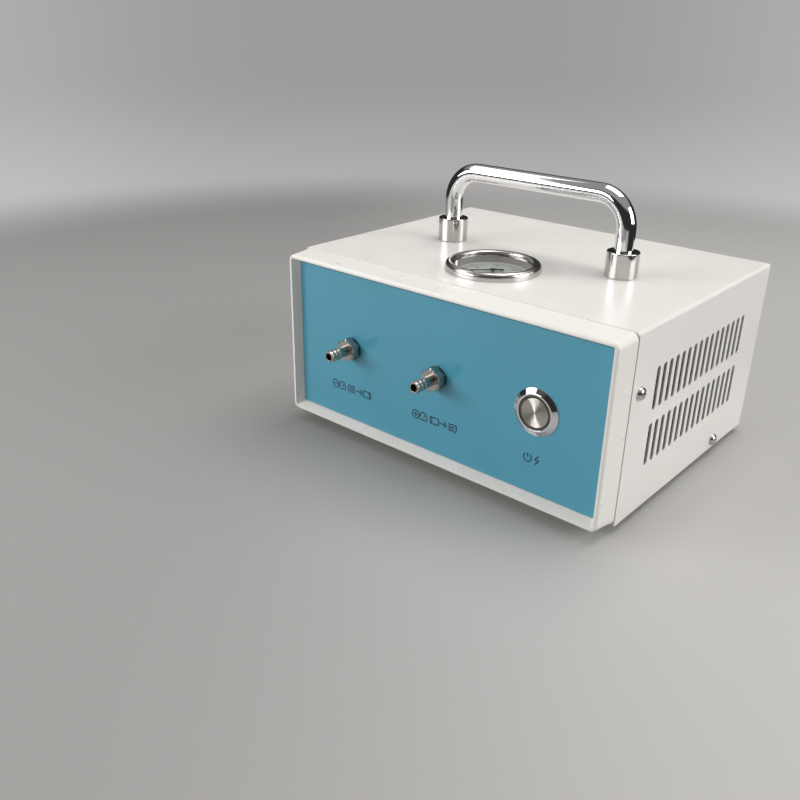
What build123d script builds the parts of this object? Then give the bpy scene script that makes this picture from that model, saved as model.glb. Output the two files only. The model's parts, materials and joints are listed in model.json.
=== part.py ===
from build123d import *
from math import radians, tan
import os

# A bench diaphragm vacuum pump in a folded steel case, in millimetres.
# X runs to the right, Y to the back and Z up.
# The origin lies on the table, under the middle of the overall box.

# Folded steel case: a U-shaped cover over a pan with a front and a rear wall
case_width = 250.0
cover_depth = 184.0
cover_height = 117.3
cover_sheet = 1.0
cover_bend = 2.0
pan_sheet = 1.2
pan_bend = 1.6
pan_flange = 14.0
pan_tab = 16.0
sheet_gap = 0.3
rear_inset = 0.6
foot_gap = 5.0

# Vent slots in both sides of the cover, measured from its front and bottom edges
vent_width = 4.2
vent_length = 27.0
vent_pitch = 8.0
vent_count = 16
vent_start = 29.5
vent_heights = (77.0, 41.8)

# Pan-head screws through the cover's sides: distance from the front edge, height
cover_screw_places = ((9.1, 80.3), (133.2, 6.3))
cover_screw_size = 4.0
cover_screw_head = 8.0
cover_screw_head_height = 2.9
cover_screw_length = 7.0

# Moulded front frame, tapered towards the front, with a sunk panel
bezel_depth = 18.8
bezel_side_taper = 1.3
bezel_top_taper = 1.1
bezel_bottom_taper = 2.5
bezel_side_inset = 0.5
bezel_top_inset = 0.3
bezel_bottom_inset = 0.5
bezel_corner = 4.5
bezel_edge_round = 1.6
bezel_wall = 2.4
bezel_lip = 2.4
recess_wall = 2.0
recess_depth = 6.1
recess_slant = 2.7
ledge_width = 5.4
ledge_thickness = 2.0
seam_gap = 0.3
boss_size = 7.0
bezel_screw_size = 2.9
bezel_screw_length = 8.0

# Front panel
panel_thickness = 2.0
panel_gap = 0.3
panel_corner = 1.3

# Hose fittings on the front, above the case's bottom edge
fitting_height = 60.5
inlet_side = 55.0
outlet_x = 2.5
barb_reach = 22.0
barb_size = 8.0
barb_root = 7.0
barb_bore = 5.0
barb_ridges = 3
barb_pitch = 3.2
barb_land = 0.8
fitting_hex = 14.0
fitting_hex_depth = 6.0
fitting_washer = 15.0
fitting_washer_thickness = 1.0
fitting_thread = 10.0
fitting_thread_length = 7.5
fitting_nut_hex = 14.0
fitting_nut_thickness = 3.5

# Metal push button with a lit ring
button_side = 50.0
button_flange = 29.5
button_flange_height = 2.2
button_edge = 0.44
button_lip = 23.2
button_barrel = 25.0
button_barrel_length = 26.0
button_bore = 21.3
button_cap_size = 17.8
button_cap_thickness = 4.0
button_cap_sink = 0.3
button_stem = 6.0
button_travel = 2.5
button_nut_hex = 30.0
button_nut_thickness = 3.0
light_ring_depth = 7.0
switch_front = 12.0
switch_length = 24.0
spring_wire = 0.8
spring_turns = 3

# Carrying handle: a bent rod that stands on two collars
handle_rod = 12.0
handle_span = 133.0
handle_back = 87.3
handle_rise = 49.0
handle_bend = 20.0
collar_size = 20.5
collar_height = 16.0
collar_chamfer = 0.7
handle_screw = 5.0
handle_screw_head = 10.0
handle_screw_head_height = 3.0
handle_screw_grip = 12.0

# Vacuum gauge let into the top of the cover
gauge_back = 44.0
gauge_ring = 61.2
gauge_ring_height = 5.3
gauge_ring_inside = 51.0
gauge_ring_edge = 1.8
gauge_ring_shoulder = 0.8
gauge_ring_lip = 0.5
gauge_case_size = 53.0
gauge_case_depth = 24.0
gauge_case_sheet = 0.8
gauge_flange = 58.0
lens_size = 52.4
lens_thickness = 1.6
lens_height = 1.7
dial_size = 46.0
dial_sheet = 0.5
dial_sink = 1.9
needle_length = 18.5
needle_tail = 7.0
needle_sheet = 0.4
needle_root = 1.3
needle_tip = 0.3
needle_tail_width = 2.2
needle_rise = 1.2
needle_hub = 3.6
needle_shaft = 1.2
needle_shaft_entry = 1.0
needle_zero = 225.0
socket_height = 9.0
socket_width = 12.0
socket_arm = 6.0
bourdon_arc = 250.0
movement_width = 16.0
movement_height = 8.0
movement_plate = 1.5
pillar_size = 2.5
pillar_inset = 2.0
bourdon_size = 34.0
bourdon_width = 5.0
bourdon_thickness = 2.2
bourdon_corner = 1.0
gauge_stem = 9.6
gauge_stem_length = 15.0
clamp_width = 20.0
clamp_sheet = 1.5
clamp_drop = 3.5
clamp_span = 64.0
stud_size = 3.0
stud_spacing = 36.0
stud_nut = 6.0
stud_nut_thickness = 2.5
elbow_width = 13.0
elbow_drop = 19.0
elbow_grip = 4.0

# Soft hoses inside the case, and the barbs that they are pushed onto
hose_bore = 5.1
hose_wall = 1.2
stub_size = 5.0
stub_bore = 2.8
stub_length = 10.0
hose_bend = 15.0
hose_lead = 8.0
hose_slope = 12.0
tee_body = 9.0
tee_gap = 3.0

# Diaphragm pump: the crank turns about an axis along X
pump_x = -35.0
pump_rear = 49.0
pump_throw = 1.5
crank_rise = 27.0
crankcase_half = 20.0
crank_bore = 34.0
crank_barrel = 42.0
motor_wall = 4.5
tower_width = 44.0
rim_rise = 26.0
head_width = 48.0
head_corner = 6.0
head_flange = 4.4
head_screw = 4.0
head_screw_spacing = 35.0
head_screw_head = 7.0
head_screw_head_height = 2.6
head_screw_grip = 8.0
foot_width = 60.0
foot_thickness = 5.0
foot_screw_x = 13.0
foot_screw_y = 26.0

# Diaphragm, connecting rod and the plates that clamp it
diaphragm_size = 43.0
diaphragm_thickness = 1.5
roll_inside = 21.0
roll_outside = 33.0
roll_dip = 1.2
rod_plate = 20.0
rod_plate_thickness = 2.5
rod_width = 7.0
rod_stem = 9.0
rod_stem_root = 11.0
big_end = 25.0
bearing_outside = 19.0
bearing_bore = 10.0
bearing_width = 6.0
retainer_size = 19.0
retainer_thickness = 2.0
retainer_screw = 4.0
retainer_head = 8.0
retainer_screw_grip = 4.5
counterweight_size = 28.0
counterweight_thickness = 6.0

# Valve plate and cylinder head
chamber_gap = 0.6
chamber_roof = 25.0
valve_plate_web = 3.1
valve_offset = 6.3
valve_disc = 10.4
valve_disc_thickness = 0.8
valve_pocket = 11.4
valve_pocket_depth = 1.1
valve_stem = 2.4
port_size = 2.2
port_circle = 6.4
port_count = 3
head_height = 14.0
head_chamber_depth = 8.0
head_chamber_width = 17.0
head_chamber_length = 30.0
head_fin = 2.0
head_fin_height = 3.0
head_fin_pitch = 5.0
head_fin_count = 5
nipple_spacing = 24.0

# Direct-current motor
motor_size = 42.0
motor_length = 52.0
motor_sheet = 1.3
motor_face = 1.6
motor_boss = 13.0
motor_boss_depth = 3.0
end_cap_thickness = 4.0
end_cap_floor = 1.0
end_cap_spigot = 2.0
shaft_size = 5.0
bush_size = 10.0
bush_length = 5.0
bush_collar = 2.0
armature_diameter = 31.0
armature_length = 30.0
armature_slots = 5
armature_slot = 4.0
commutator_size = 10.0
commutator_length = 5.0
magnet_inside = 32.4
magnet_length = 36.0
magnet_split = 20.0
motor_screw = 3.0
motor_screw_circle = 25.0

# Bracket on rubber mounts
bracket_width = 70.0
bracket_sheet = 1.5
bracket_flange = 6.0
mount_size = 12.0
mount_waist = 9.0
mount_height = 10.0
mount_spacing = 54.0
mount_screw = 4.0
mount_screw_head = 8.0
mount_screw_head_height = 2.4

# Rubber feet, pushed through holes in the pan
foot_size = 18.0
foot_taper = 1.0
foot_neck = 8.0
foot_cap = 10.4
foot_cap_height = 4.0
foot_inset = 20.0

# Direct-current inlet on the rear wall, and the leads inside
jack_side = 45.0
jack_height = 28.0
jack_flange = 14.0
jack_flange_thickness = 2.0
jack_barrel = 11.8
jack_barrel_length = 15.0
jack_bore = 5.6
jack_bore_depth = 10.0
jack_pin = 2.1
jack_pin_sink = 2.0
jack_nut_hex = 14.0
jack_nut_thickness = 2.5
lead_size = 1.8
tab_width = 2.8
tab_thickness = 0.8
tab_length = 6.0
tab_spacing = 6.0
lead_bend = 7.0

# Clearances: between turning or sliding pieces, round a fixed fit, and end to end
running_gap = 0.05
snug_gap = 0.03
hole_gap = 0.15
touch_gap = 0.05
moving_gap = 0.5

# Heights and depths that follow from the sizes above
cover_top = foot_gap + cover_height
cover_under = cover_top - cover_sheet
pan_floor = foot_gap + pan_sheet
panel_setback = bezel_depth - recess_depth
front_reach = panel_setback + barb_reach
rear_reach = cover_depth - rear_inset + jack_flange_thickness
seam_y = (front_reach - rear_reach) / 2
rear_wall_y = seam_y + cover_depth - rear_inset
bezel_front = seam_y - bezel_depth
bezel_rear = seam_y - seam_gap
panel_front = seam_y - panel_setback
panel_back = panel_front + panel_thickness
ledge_back = panel_back + ledge_thickness
fitting_z = foot_gap + fitting_height
pan_half = case_width / 2 - cover_sheet - sheet_gap
inlet_x = inlet_side - case_width / 2
button_x = case_width / 2 - button_side
jack_x = case_width / 2 - jack_side
wall_top = cover_under - sheet_gap
gauge_y = seam_y + gauge_back
handle_y = seam_y + handle_back
pump_y = seam_y + cover_depth - pump_rear
bracket_top = pan_floor + mount_height + bracket_sheet
crank_z = bracket_top + crank_rise
rim_z = crank_z + rim_rise
plate_low = rim_z + diaphragm_thickness
chamber_depth = pump_throw + retainer_thickness + chamber_gap
roof_z = plate_low + chamber_depth
plate_top = roof_z + valve_plate_web
head_top = plate_top + head_height
nipple_z = plate_top + head_chamber_depth / 2
nipple_front = pump_y - head_width / 2 - stub_length
motor_x = pump_x + crankcase_half
cap_x = motor_x + motor_length
elbow_z = cover_top - gauge_case_depth - elbow_drop
clamp_z = cover_top - gauge_case_depth - clamp_drop
button_front = panel_front - button_flange_height
stub_front = panel_back + fitting_thread_length
tee_reach = tee_body / 2 + stub_length
tee_y = stub_front + stub_length + tee_gap + tee_reach
hose_size = hose_bore + 2 * hose_wall


def turned_y(points):
    """A profile of (radius, distance) points, turned about the Y axis."""
    return revolve(make_face(Polyline(*points, close=True)), Axis.Y)


def turned_z(points):
    """A profile of (radius, height) points, turned about the Z axis."""
    return revolve(make_face(Plane.XZ * Polyline(*points, close=True)), Axis.Z)


def turned_x(points):
    """A profile of (distance, radius) points, turned about the X axis."""
    return revolve(make_face(Polyline(*points, close=True)), Axis.X)


def pin_x(size, x_start, x_end, y, z):
    length = x_end - x_start
    return Pos((x_start + x_end) / 2, y, z) * Rot(0, 90, 0) * Cylinder(size / 2, length)


def pin_y(size, x, y_start, y_end, z):
    length = y_end - y_start
    return Pos(x, (y_start + y_end) / 2, z) * Rot(90, 0, 0) * Cylinder(size / 2, length)


def pin_z(size, x, y, z_start, z_end):
    length = z_end - z_start
    return Pos(x, y, (z_start + z_end) / 2) * Cylinder(size / 2, length)


def block(x_start, x_end, y_start, y_end, z_start, z_end):
    size = (x_end - x_start, y_end - y_start, z_end - z_start)
    middle = ((x_start + x_end) / 2, (y_start + y_end) / 2, (z_start + z_end) / 2)
    return Pos(*middle) * Box(*size)


def upright(outline, y_start, y_end):
    """An outline drawn in X and Z, carried from y_start back to y_end."""
    return Pos(0, y_start, 0) * extrude(Plane.XZ * outline, y_start - y_end)


def at_depth(outline, y):
    """The face of an outline drawn in X and Z, at depth y."""
    return (Pos(0, y, 0) * (Plane.XZ * outline)).face()


def hexagon(across_flats, thickness):
    return extrude(RegularPolygon(across_flats / 2, 6, major_radius=False), thickness)


def screw(size, length, head, head_height):
    """A screw along Z: the head stands above zero and the shank hangs below it."""
    edge = head_height / 3
    return turned_z([
        (0, -length),
        (size / 2, -length),
        (size / 2, 0),
        (head / 2, 0),
        (head / 2, head_height - edge),
        (head / 2 - 2 * edge, head_height),
        (0, head_height),
    ])


def together(pieces):
    """Separate solids that share one node."""
    return Compound(children=list(pieces))


def cover_screw_spots():
    """Both sides of the case: side, y and z of each screw through the cover."""
    for side in (-1, 1):
        for back, height in cover_screw_places:
            yield side, seam_y + back, foot_gap + height


def vent_cutter():
    slots = Sketch()
    for height in vent_heights:
        for number in range(vent_count):
            back = vent_start + number * vent_pitch
            slots += Pos(seam_y + back, foot_gap + height) * SlotOverall(vent_length, vent_width, 90)
    return Pos(-case_width, 0, 0) * extrude(Plane.YZ * slots, 2 * case_width)


def top_cover():
    outside = Pos(0, foot_gap + cover_height / 2) * Rectangle(case_width, cover_height)
    outside = fillet(outside.vertices().group_by(Axis.Y)[-1], cover_bend)
    inside = Pos(0, foot_gap + (cover_height - cover_sheet) / 2) * Rectangle(
        case_width - 2 * cover_sheet, cover_height - cover_sheet
    )
    inside = fillet(inside.vertices().group_by(Axis.Y)[-1], cover_bend - cover_sheet)
    shell = upright(outside - inside, seam_y, seam_y + cover_depth)
    shell -= vent_cutter()
    for side in (-1, 1):
        shell -= pin_z(handle_screw + 2 * hole_gap, side * handle_span / 2, handle_y, 0, 2 * cover_top)
    shell -= pin_z(gauge_case_size + 2 * hole_gap, 0, gauge_y, 0, 2 * cover_top)
    for side, y, z in cover_screw_spots():
        shell -= pin_x(cover_screw_size + 2 * hole_gap, -case_width, case_width, y, z)
    return shell


def pan_shell():
    """The folded tray with its tall front and rear walls."""
    length = rear_wall_y - bezel_rear
    outside = block(-pan_half, pan_half, bezel_rear, rear_wall_y, foot_gap, foot_gap + pan_flange)
    outside = fillet(outside.edges().group_by(Axis.Z)[0], pan_bend)
    outside += block(-pan_half, pan_half, bezel_rear, rear_wall_y, foot_gap + pan_bend, wall_top)
    hollow = Pos(0, bezel_rear + length / 2, pan_floor) * Box(
        2 * (pan_half - pan_sheet),
        length - 2 * pan_sheet,
        wall_top,
        align=(Align.CENTER, Align.CENTER, Align.MIN),
    )
    sides = Pos(0, bezel_rear + length / 2, foot_gap + pan_flange) * Box(
        case_width,
        length - 2 * pan_sheet,
        wall_top,
        align=(Align.CENTER, Align.CENTER, Align.MIN),
    )
    return outside - hollow - sides


def wall_window():
    """The opening in the front wall, the same as the one inside the frame's ledge."""
    half, low, high = recess_opening()
    return frame_outline(half - ledge_width, low + ledge_width, high - ledge_width, panel_corner)


def base_pan():
    pan = pan_shell()
    tab_start = bezel_rear + pan_sheet
    tab_height = foot_gap + cover_screw_places[0][1]
    for side in (-1, 1):
        inner = pan_half - pan_sheet
        low_x = inner if side > 0 else -pan_half
        pan += block(
            low_x,
            low_x + pan_sheet,
            tab_start,
            tab_start + pan_tab,
            tab_height - pan_tab,
            tab_height + pan_tab,
        )
    pan -= upright(wall_window(), bezel_rear - pan_sheet, bezel_rear + 2 * pan_sheet)
    for side, y, z in cover_screw_spots():
        pan -= pin_x(cover_screw_size + 2 * snug_gap, -case_width, case_width, y, z)
    front_cut = (bezel_rear - pan_sheet, bezel_rear + 2 * pan_sheet)
    for x, z in bezel_screw_spots():
        pan -= pin_y(bezel_screw_size + 2 * hole_gap, x, *front_cut, z)
    for x, y in foot_spots():
        pan -= pin_z(foot_neck + 2 * snug_gap, x, y, 0, pan_floor + pan_sheet)
    for x, y in mount_spots():
        pan -= pin_z(mount_screw + 2 * hole_gap, x, y, 0, pan_floor + pan_sheet)
    rear_cut = (rear_wall_y - 2 * pan_sheet, rear_wall_y + pan_sheet)
    pan -= pin_y(jack_barrel + 2 * hole_gap, jack_x, *rear_cut, jack_z())
    return pan


def cover_screws():
    head = screw(cover_screw_size, cover_screw_length, cover_screw_head, cover_screw_head_height)
    return together(
        Pos(side * case_width / 2, y, z) * Rot(0, side * 90, 0) * head for side, y, z in cover_screw_spots()
    )


def frame_outline(half_width, low, high, corner):
    """A rounded rectangle in X and Z."""
    return Pos(0, (low + high) / 2) * RectangleRounded(2 * half_width, high - low, corner)


def bezel_outline(y, inset=0.0):
    """The frame's outside at depth y: it narrows evenly from its rear edge to its front."""
    share = (bezel_rear - y) / (bezel_rear - bezel_front)
    half = case_width / 2 - bezel_side_inset - share * bezel_side_taper
    low = foot_gap + bezel_bottom_inset + share * bezel_bottom_taper
    high = cover_top - bezel_top_inset - share * bezel_top_taper
    corner = max(bezel_corner - inset, 0.5)
    return at_depth(frame_outline(half - inset, low + inset, high - inset, corner), y)


def recess_opening():
    """Half width, low edge and high edge of the recess where the panel lies."""
    half = case_width / 2 - bezel_side_inset - bezel_side_taper - bezel_lip - recess_slant
    low = foot_gap + bezel_bottom_inset + bezel_bottom_taper + bezel_lip + recess_slant
    high = cover_top - bezel_top_inset - bezel_top_taper - bezel_lip - recess_slant
    return half, low, high


def bezel_screw_spots():
    """The frame's six bosses: x and z."""
    half, low, high = recess_opening()
    middle = ledge_width / 2
    corner_drop = 2 * boss_size
    for x in (middle - half, half - middle):
        yield x, low + corner_drop
        yield x, high - corner_drop
    yield 0, low + middle
    yield 0, high - middle


def front_bezel():
    body = loft([bezel_outline(bezel_front), bezel_outline(bezel_rear)], ruled=True)
    body = fillet(body.edges().group_by(Axis.Y)[0], bezel_edge_round)
    half, low, high = recess_opening()
    mouth = frame_outline(half + recess_slant, low - recess_slant, high + recess_slant, panel_corner)
    seat = frame_outline(half, low, high, panel_corner)
    body -= loft([at_depth(mouth, bezel_front), at_depth(seat, panel_front)], ruled=True)
    body -= upright(seat, panel_front, panel_back)
    body -= upright(wall_window(), panel_back, bezel_rear)
    hollow = loft([bezel_outline(panel_front, bezel_wall), bezel_outline(bezel_rear, bezel_wall)], ruled=True)
    pocket = frame_outline(half + recess_wall, low - recess_wall, high + recess_wall, panel_corner)
    body -= hollow - upright(pocket, panel_front, ledge_back)
    for x, z in bezel_screw_spots():
        body += pin_y(boss_size, x, ledge_back, bezel_rear, z)
        body -= pin_y(bezel_screw_size + 2 * snug_gap, x, ledge_back, bezel_rear, z)
    return body


def bezel_screws():
    head = screw(bezel_screw_size, bezel_screw_length, 2 * bezel_screw_size, 0.6 * bezel_screw_size)
    behind = bezel_rear + pan_sheet
    return together(Pos(x, behind, z) * Rot(-90, 0, 0) * head for x, z in bezel_screw_spots())


def front_panel():
    half, low, high = recess_opening()
    outline = frame_outline(half - panel_gap, low + panel_gap, high - panel_gap, panel_corner)
    panel = upright(outline, panel_front, panel_back)
    for x in (inlet_x, outlet_x):
        panel -= pin_y(fitting_thread + 2 * hole_gap, x, panel_front, panel_back, fitting_z)
    panel -= pin_y(button_barrel + 2 * hole_gap, button_x, panel_front, panel_back, fitting_z)
    return panel


def ridged(length, root, ridge, start):
    """Outer profile of a hose barb, from its tip: cones that end in short lands."""
    points = []
    for number in range(barb_ridges):
        base = start + number * barb_pitch
        points.append((root / 2, base))
        points.append((ridge / 2, base + barb_pitch - 2 * barb_land))
        points.append((ridge / 2, base + barb_pitch - barb_land))
        points.append((root / 2, base + barb_pitch - barb_land))
    points.append((root / 2, length))
    return points


def hose_fitting(x):
    """A bulkhead fitting: ridged barb, hexagon, thread through the panel and a stub behind."""
    washer_front = barb_reach - fitting_washer_thickness
    hex_front = washer_front - fitting_hex_depth
    behind = barb_reach + panel_thickness
    stub_start = behind + fitting_thread_length
    end = stub_start + stub_length
    profile = [(barb_bore / 2, 0)]
    profile += ridged(hex_front, barb_root, barb_size, 0)
    profile += [
        (fitting_thread / 2, hex_front),
        (fitting_thread / 2, stub_start),
        (stub_size / 2, stub_start),
        (stub_size / 2, end),
        (stub_bore / 2, end),
        (stub_bore / 2, behind),
        (barb_bore / 2, behind),
    ]
    fitting = turned_y(profile)
    corner = fitting_hex / 3**0.5
    shoulder = turned_y([
        (fitting_thread / 2, hex_front),
        (fitting_hex / 2, hex_front),
        (corner, hex_front + (corner - fitting_hex / 2)),
        (corner, washer_front),
        (fitting_thread / 2, washer_front),
    ])
    nut = Pos(0, washer_front, 0) * Rot(90, 0, 0) * hexagon(fitting_hex, fitting_hex_depth)
    fitting += shoulder & nut
    return Pos(x, panel_front - barb_reach, fitting_z) * fitting


def inlet_barb():
    return hose_fitting(inlet_x)


def outlet_barb():
    return hose_fitting(outlet_x)


def barb_washers():
    ring = turned_y([
        (fitting_thread / 2 + hole_gap, 0),
        (fitting_washer / 2, 0),
        (fitting_washer / 2, fitting_washer_thickness),
        (fitting_thread / 2 + hole_gap, fitting_washer_thickness),
    ])
    front = panel_front - fitting_washer_thickness
    return together(Pos(x, front, fitting_z) * ring for x in (inlet_x, outlet_x))


def barb_locknuts():
    nut = hexagon(fitting_nut_hex, fitting_nut_thickness)
    nut -= pin_z(fitting_thread + 2 * snug_gap, 0, 0, 0, fitting_nut_thickness)
    nut = Rot(-90, 0, 0) * nut
    return together(Pos(x, panel_back, fitting_z) * nut for x in (inlet_x, outlet_x))


def button_place(piece):
    """Puts a piece, drawn back from the flange's front face, on the button's axis."""
    return Pos(button_x, button_front, fitting_z) * piece


def button_housing():
    rim = button_flange_height - button_edge
    rear = button_flange_height + button_barrel_length
    return button_place(turned_y([
        (button_bore / 2, 0),
        (button_lip / 2, 0),
        (button_flange / 2, rim),
        (button_flange / 2, button_flange_height),
        (button_barrel / 2, button_flange_height),
        (button_barrel / 2, rear),
        (button_bore / 2, rear),
    ]))


def button_light_ring():
    inner = button_cap_size / 2 + 2 * running_gap
    outer = button_bore / 2 - snug_gap
    front = 2 * button_cap_sink
    return button_place(turned_y([
        (inner, front),
        (outer, front),
        (outer, light_ring_depth),
        (inner, light_ring_depth),
    ]))


def stem_end():
    return switch_front + button_cap_thickness


def button_cap():
    back = button_cap_sink + button_cap_thickness
    return button_place(turned_y([
        (0, button_cap_sink),
        (button_cap_size / 2, button_cap_sink),
        (button_cap_size / 2, back),
        (button_stem / 2, back),
        (button_stem / 2, stem_end()),
        (0, stem_end()),
    ]))


def button_spring():
    front = button_cap_sink + button_cap_thickness + touch_gap
    length = switch_front - touch_gap - front - spring_wire
    radius = button_stem / 2 + 2 * spring_wire
    coil = Helix(length / spring_turns, length, radius)
    wire = Plane(coil @ 0, z_dir=coil % 0) * Rectangle(spring_wire, spring_wire)
    spring = sweep(wire, path=coil, is_frenet=True)
    return button_place(Pos(0, front + spring_wire / 2, 0) * Rot(-90, 0, 0) * spring)


def button_locknut():
    nut = hexagon(button_nut_hex, button_nut_thickness)
    nut -= pin_z(button_barrel + 2 * snug_gap, 0, 0, 0, button_nut_thickness)
    return Pos(button_x, panel_back, fitting_z) * Rot(-90, 0, 0) * nut


def switch_body():
    outer = button_bore / 2 - snug_gap
    rear = switch_front + switch_length
    shoulder = button_flange_height + button_barrel_length
    hole = button_stem / 2 + 2 * running_gap
    depth = stem_end() + button_travel + moving_gap
    return button_place(turned_y([
        (hole, switch_front),
        (outer, switch_front),
        (outer, shoulder),
        (button_barrel / 2, shoulder),
        (button_barrel / 2, rear),
        (0, rear),
        (0, depth),
        (hole, depth),
    ]))


def switch_rear():
    return button_front + switch_front + switch_length


def handle_bar():
    half = handle_span / 2
    top = cover_top + handle_rise
    path = FilletPolyline(
        (-half, handle_y, cover_top),
        (-half, handle_y, top),
        (half, handle_y, top),
        (half, handle_y, cover_top),
        radius=handle_bend,
    )
    start = Plane((-half, handle_y, cover_top), z_dir=(0, 0, 1))
    bar = sweep(start * Circle(handle_rod / 2), path=path)
    for side in (-1, 1):
        bar -= pin_z(
            handle_screw + 2 * snug_gap,
            side * half,
            handle_y,
            cover_top,
            cover_top + handle_screw_grip + 2 * moving_gap,
        )
    return bar


def handle_collars():
    inner = handle_rod / 2 + snug_gap
    outer = collar_size / 2
    ring = turned_z([
        (inner, 0),
        (outer - collar_chamfer, 0),
        (outer, collar_chamfer),
        (outer, collar_height - collar_chamfer),
        (outer - collar_chamfer, collar_height),
        (inner, collar_height),
    ])
    return together(Pos(side * handle_span / 2, handle_y, cover_top) * ring for side in (-1, 1))


def handle_screws():
    length = handle_screw_grip + cover_sheet
    bolt = Rot(180, 0, 0) * screw(handle_screw, length, handle_screw_head, handle_screw_head_height)
    return together(Pos(side * handle_span / 2, handle_y, cover_under) * bolt for side in (-1, 1))


def gauge_place(piece):
    """Puts a piece, drawn about Z from the cover's top, on the gauge's axis."""
    return Pos(0, gauge_y, cover_top) * piece


def gauge_bezel():
    """A rounded ring that rolls over the case's flange and holds the lens."""
    outer = gauge_ring / 2
    inner = gauge_ring_inside / 2
    flange = gauge_flange / 2 + snug_gap
    lens_top = lens_height + lens_thickness
    high = gauge_ring_height
    crown = (outer + inner) / 2
    shoulder = gauge_ring_shoulder
    lip = gauge_ring_lip
    edge = Line((outer, 0), (outer, gauge_ring_edge))
    over = ThreePointArc(edge @ 1, (outer - shoulder, high - 1.5 * shoulder), (crown, high))
    down = ThreePointArc(over @ 1, (inner + shoulder, high - lip), (inner, lens_top + lip))
    rest = Polyline(
        down @ 1,
        (inner, lens_top + touch_gap),
        (flange, lens_top + touch_gap),
        (flange, 0),
        (outer, 0),
    )
    profile = make_face(Plane.XZ * (edge + over + down + rest))
    return gauge_place(revolve(profile, Axis.Z))


def gauge_case():
    outer = gauge_case_size / 2
    inner = outer - gauge_case_sheet
    flange = gauge_flange / 2
    low = -gauge_case_depth
    shell = turned_z([
        (gauge_stem / 2 + snug_gap, low),
        (outer, low),
        (outer, 0),
        (flange, 0),
        (flange, gauge_case_sheet),
        (inner, gauge_case_sheet),
        (inner, low + gauge_case_sheet),
        (gauge_stem / 2 + snug_gap, low + gauge_case_sheet),
    ])
    for side in (-1, 1):
        shell += pin_z(stud_size, side * stud_spacing / 2, 0, low - clamp_drop - 4 * clamp_sheet, low)
    return gauge_place(shell)


def gauge_lens():
    return gauge_place(pin_z(lens_size, 0, 0, lens_height, lens_height + lens_thickness))


def gauge_dial():
    """A flat face with a flared rim that reaches up to the lens."""
    flat = dial_size / 2
    rim = gauge_case_size / 2 - gauge_case_sheet - snug_gap
    rim_top = lens_height - touch_gap
    low = -dial_sink - dial_sheet
    hole = needle_shaft / 2 + 2 * hole_gap
    return gauge_place(turned_z([
        (hole, low),
        (flat + dial_sheet, low),
        (rim, gauge_case_sheet),
        (rim, rim_top),
        (rim - dial_sheet, rim_top),
        (flat, -dial_sink),
        (hole, -dial_sink),
    ]))


def gauge_needle():
    """Pointer, hub and spindle: at rest it points to the scale's zero, down and left."""
    low = needle_rise - dial_sink
    high = low + needle_sheet
    blade = make_face(Polyline(
        (-needle_tail, needle_tail_width / 2),
        (-needle_tail, -needle_tail_width / 2),
        (0, -needle_root / 2),
        (needle_length, -needle_tip / 2),
        (needle_length, needle_tip / 2),
        (0, needle_root / 2),
        close=True,
    ))
    needle = Pos(0, 0, low) * extrude(blade, needle_sheet)
    needle += pin_z(needle_hub, 0, 0, low, high + needle_sheet)
    needle += pin_z(needle_shaft, 0, 0, movement_low() + movement_height - needle_shaft_entry, low)
    return gauge_place(Rot(0, 0, needle_zero) * needle)


def movement_low():
    """Height of the movement's underside, from the cover's top."""
    return -gauge_case_depth + gauge_case_sheet + socket_height


def gauge_movement():
    """Two brass plates on four pillars, under the dial."""
    half = movement_width / 2
    low = movement_low()
    plate = movement_plate
    spot = half - pillar_inset
    body = block(-half, half, -half, half, low, low + plate)
    body += block(-half, half, -half, half, low + movement_height - plate, low + movement_height)
    for x in (-1, 1):
        for y in (-1, 1):
            body += pin_z(pillar_size, x * spot, y * spot, low, low + movement_height)
    body -= pin_z(needle_shaft + 4 * running_gap, 0, 0, low + movement_height - plate, low + movement_height)
    top = -dial_sink - dial_sheet
    for x in (-1, 1):
        body += pin_z(pillar_size, x * spot, 0, low + movement_height, top)
    return gauge_place(body)


def gauge_socket():
    """Brass block in the case, with a stem down through its floor."""
    low = -gauge_case_depth
    floor = low + gauge_case_sheet
    body = pin_z(gauge_stem, 0, 0, low - gauge_stem_length, floor)
    half = socket_width / 2
    arm = socket_arm / 2
    body += block(-half, half, -half, half, floor, floor + socket_height)
    body += block(half, bourdon_size / 2 + bourdon_thickness, -arm, arm, floor, floor + socket_height)
    body -= pin_z(stub_bore, 0, 0, low - gauge_stem_length, floor + socket_height / 2)
    return gauge_place(body)


def bourdon_tube():
    """A flattened tube bent to an arc about the gauge's axis, standing on the socket's arm."""
    radius = bourdon_size / 2
    floor = -gauge_case_depth + gauge_case_sheet + socket_height
    section = RectangleRounded(bourdon_thickness, bourdon_width, bourdon_corner)
    section = Pos(radius, floor + bourdon_width / 2) * section
    tube = revolve(Plane.XZ * section, Axis.Z, revolution_arc=bourdon_arc)
    return gauge_place(tube)


def gauge_clamp():
    """A U-shaped strap that bears on the cover's underside and pulls the gauge down."""
    half = clamp_span / 2
    low = clamp_z - clamp_sheet
    wide = clamp_width / 2
    strap = block(-half, half, -wide, wide, low, clamp_z)
    for side in (-1, 1):
        inner = side * (half - clamp_sheet)
        outer = side * half
        strap += block(min(inner, outer), max(inner, outer), -wide, wide, low, cover_under)
        strap -= pin_z(stud_size + 2 * hole_gap, side * stud_spacing / 2, 0, low, clamp_z)
    strap -= pin_z(gauge_stem + 4 * hole_gap, 0, 0, low, clamp_z)
    return Pos(0, gauge_y, 0) * strap


def gauge_clamp_nuts():
    nut = hexagon(stud_nut, stud_nut_thickness)
    nut -= pin_z(stud_size + 2 * snug_gap, 0, 0, 0, stud_nut_thickness)
    low = clamp_z - clamp_sheet - stud_nut_thickness
    return together(Pos(side * stud_spacing / 2, gauge_y, low) * nut for side in (-1, 1))


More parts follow.
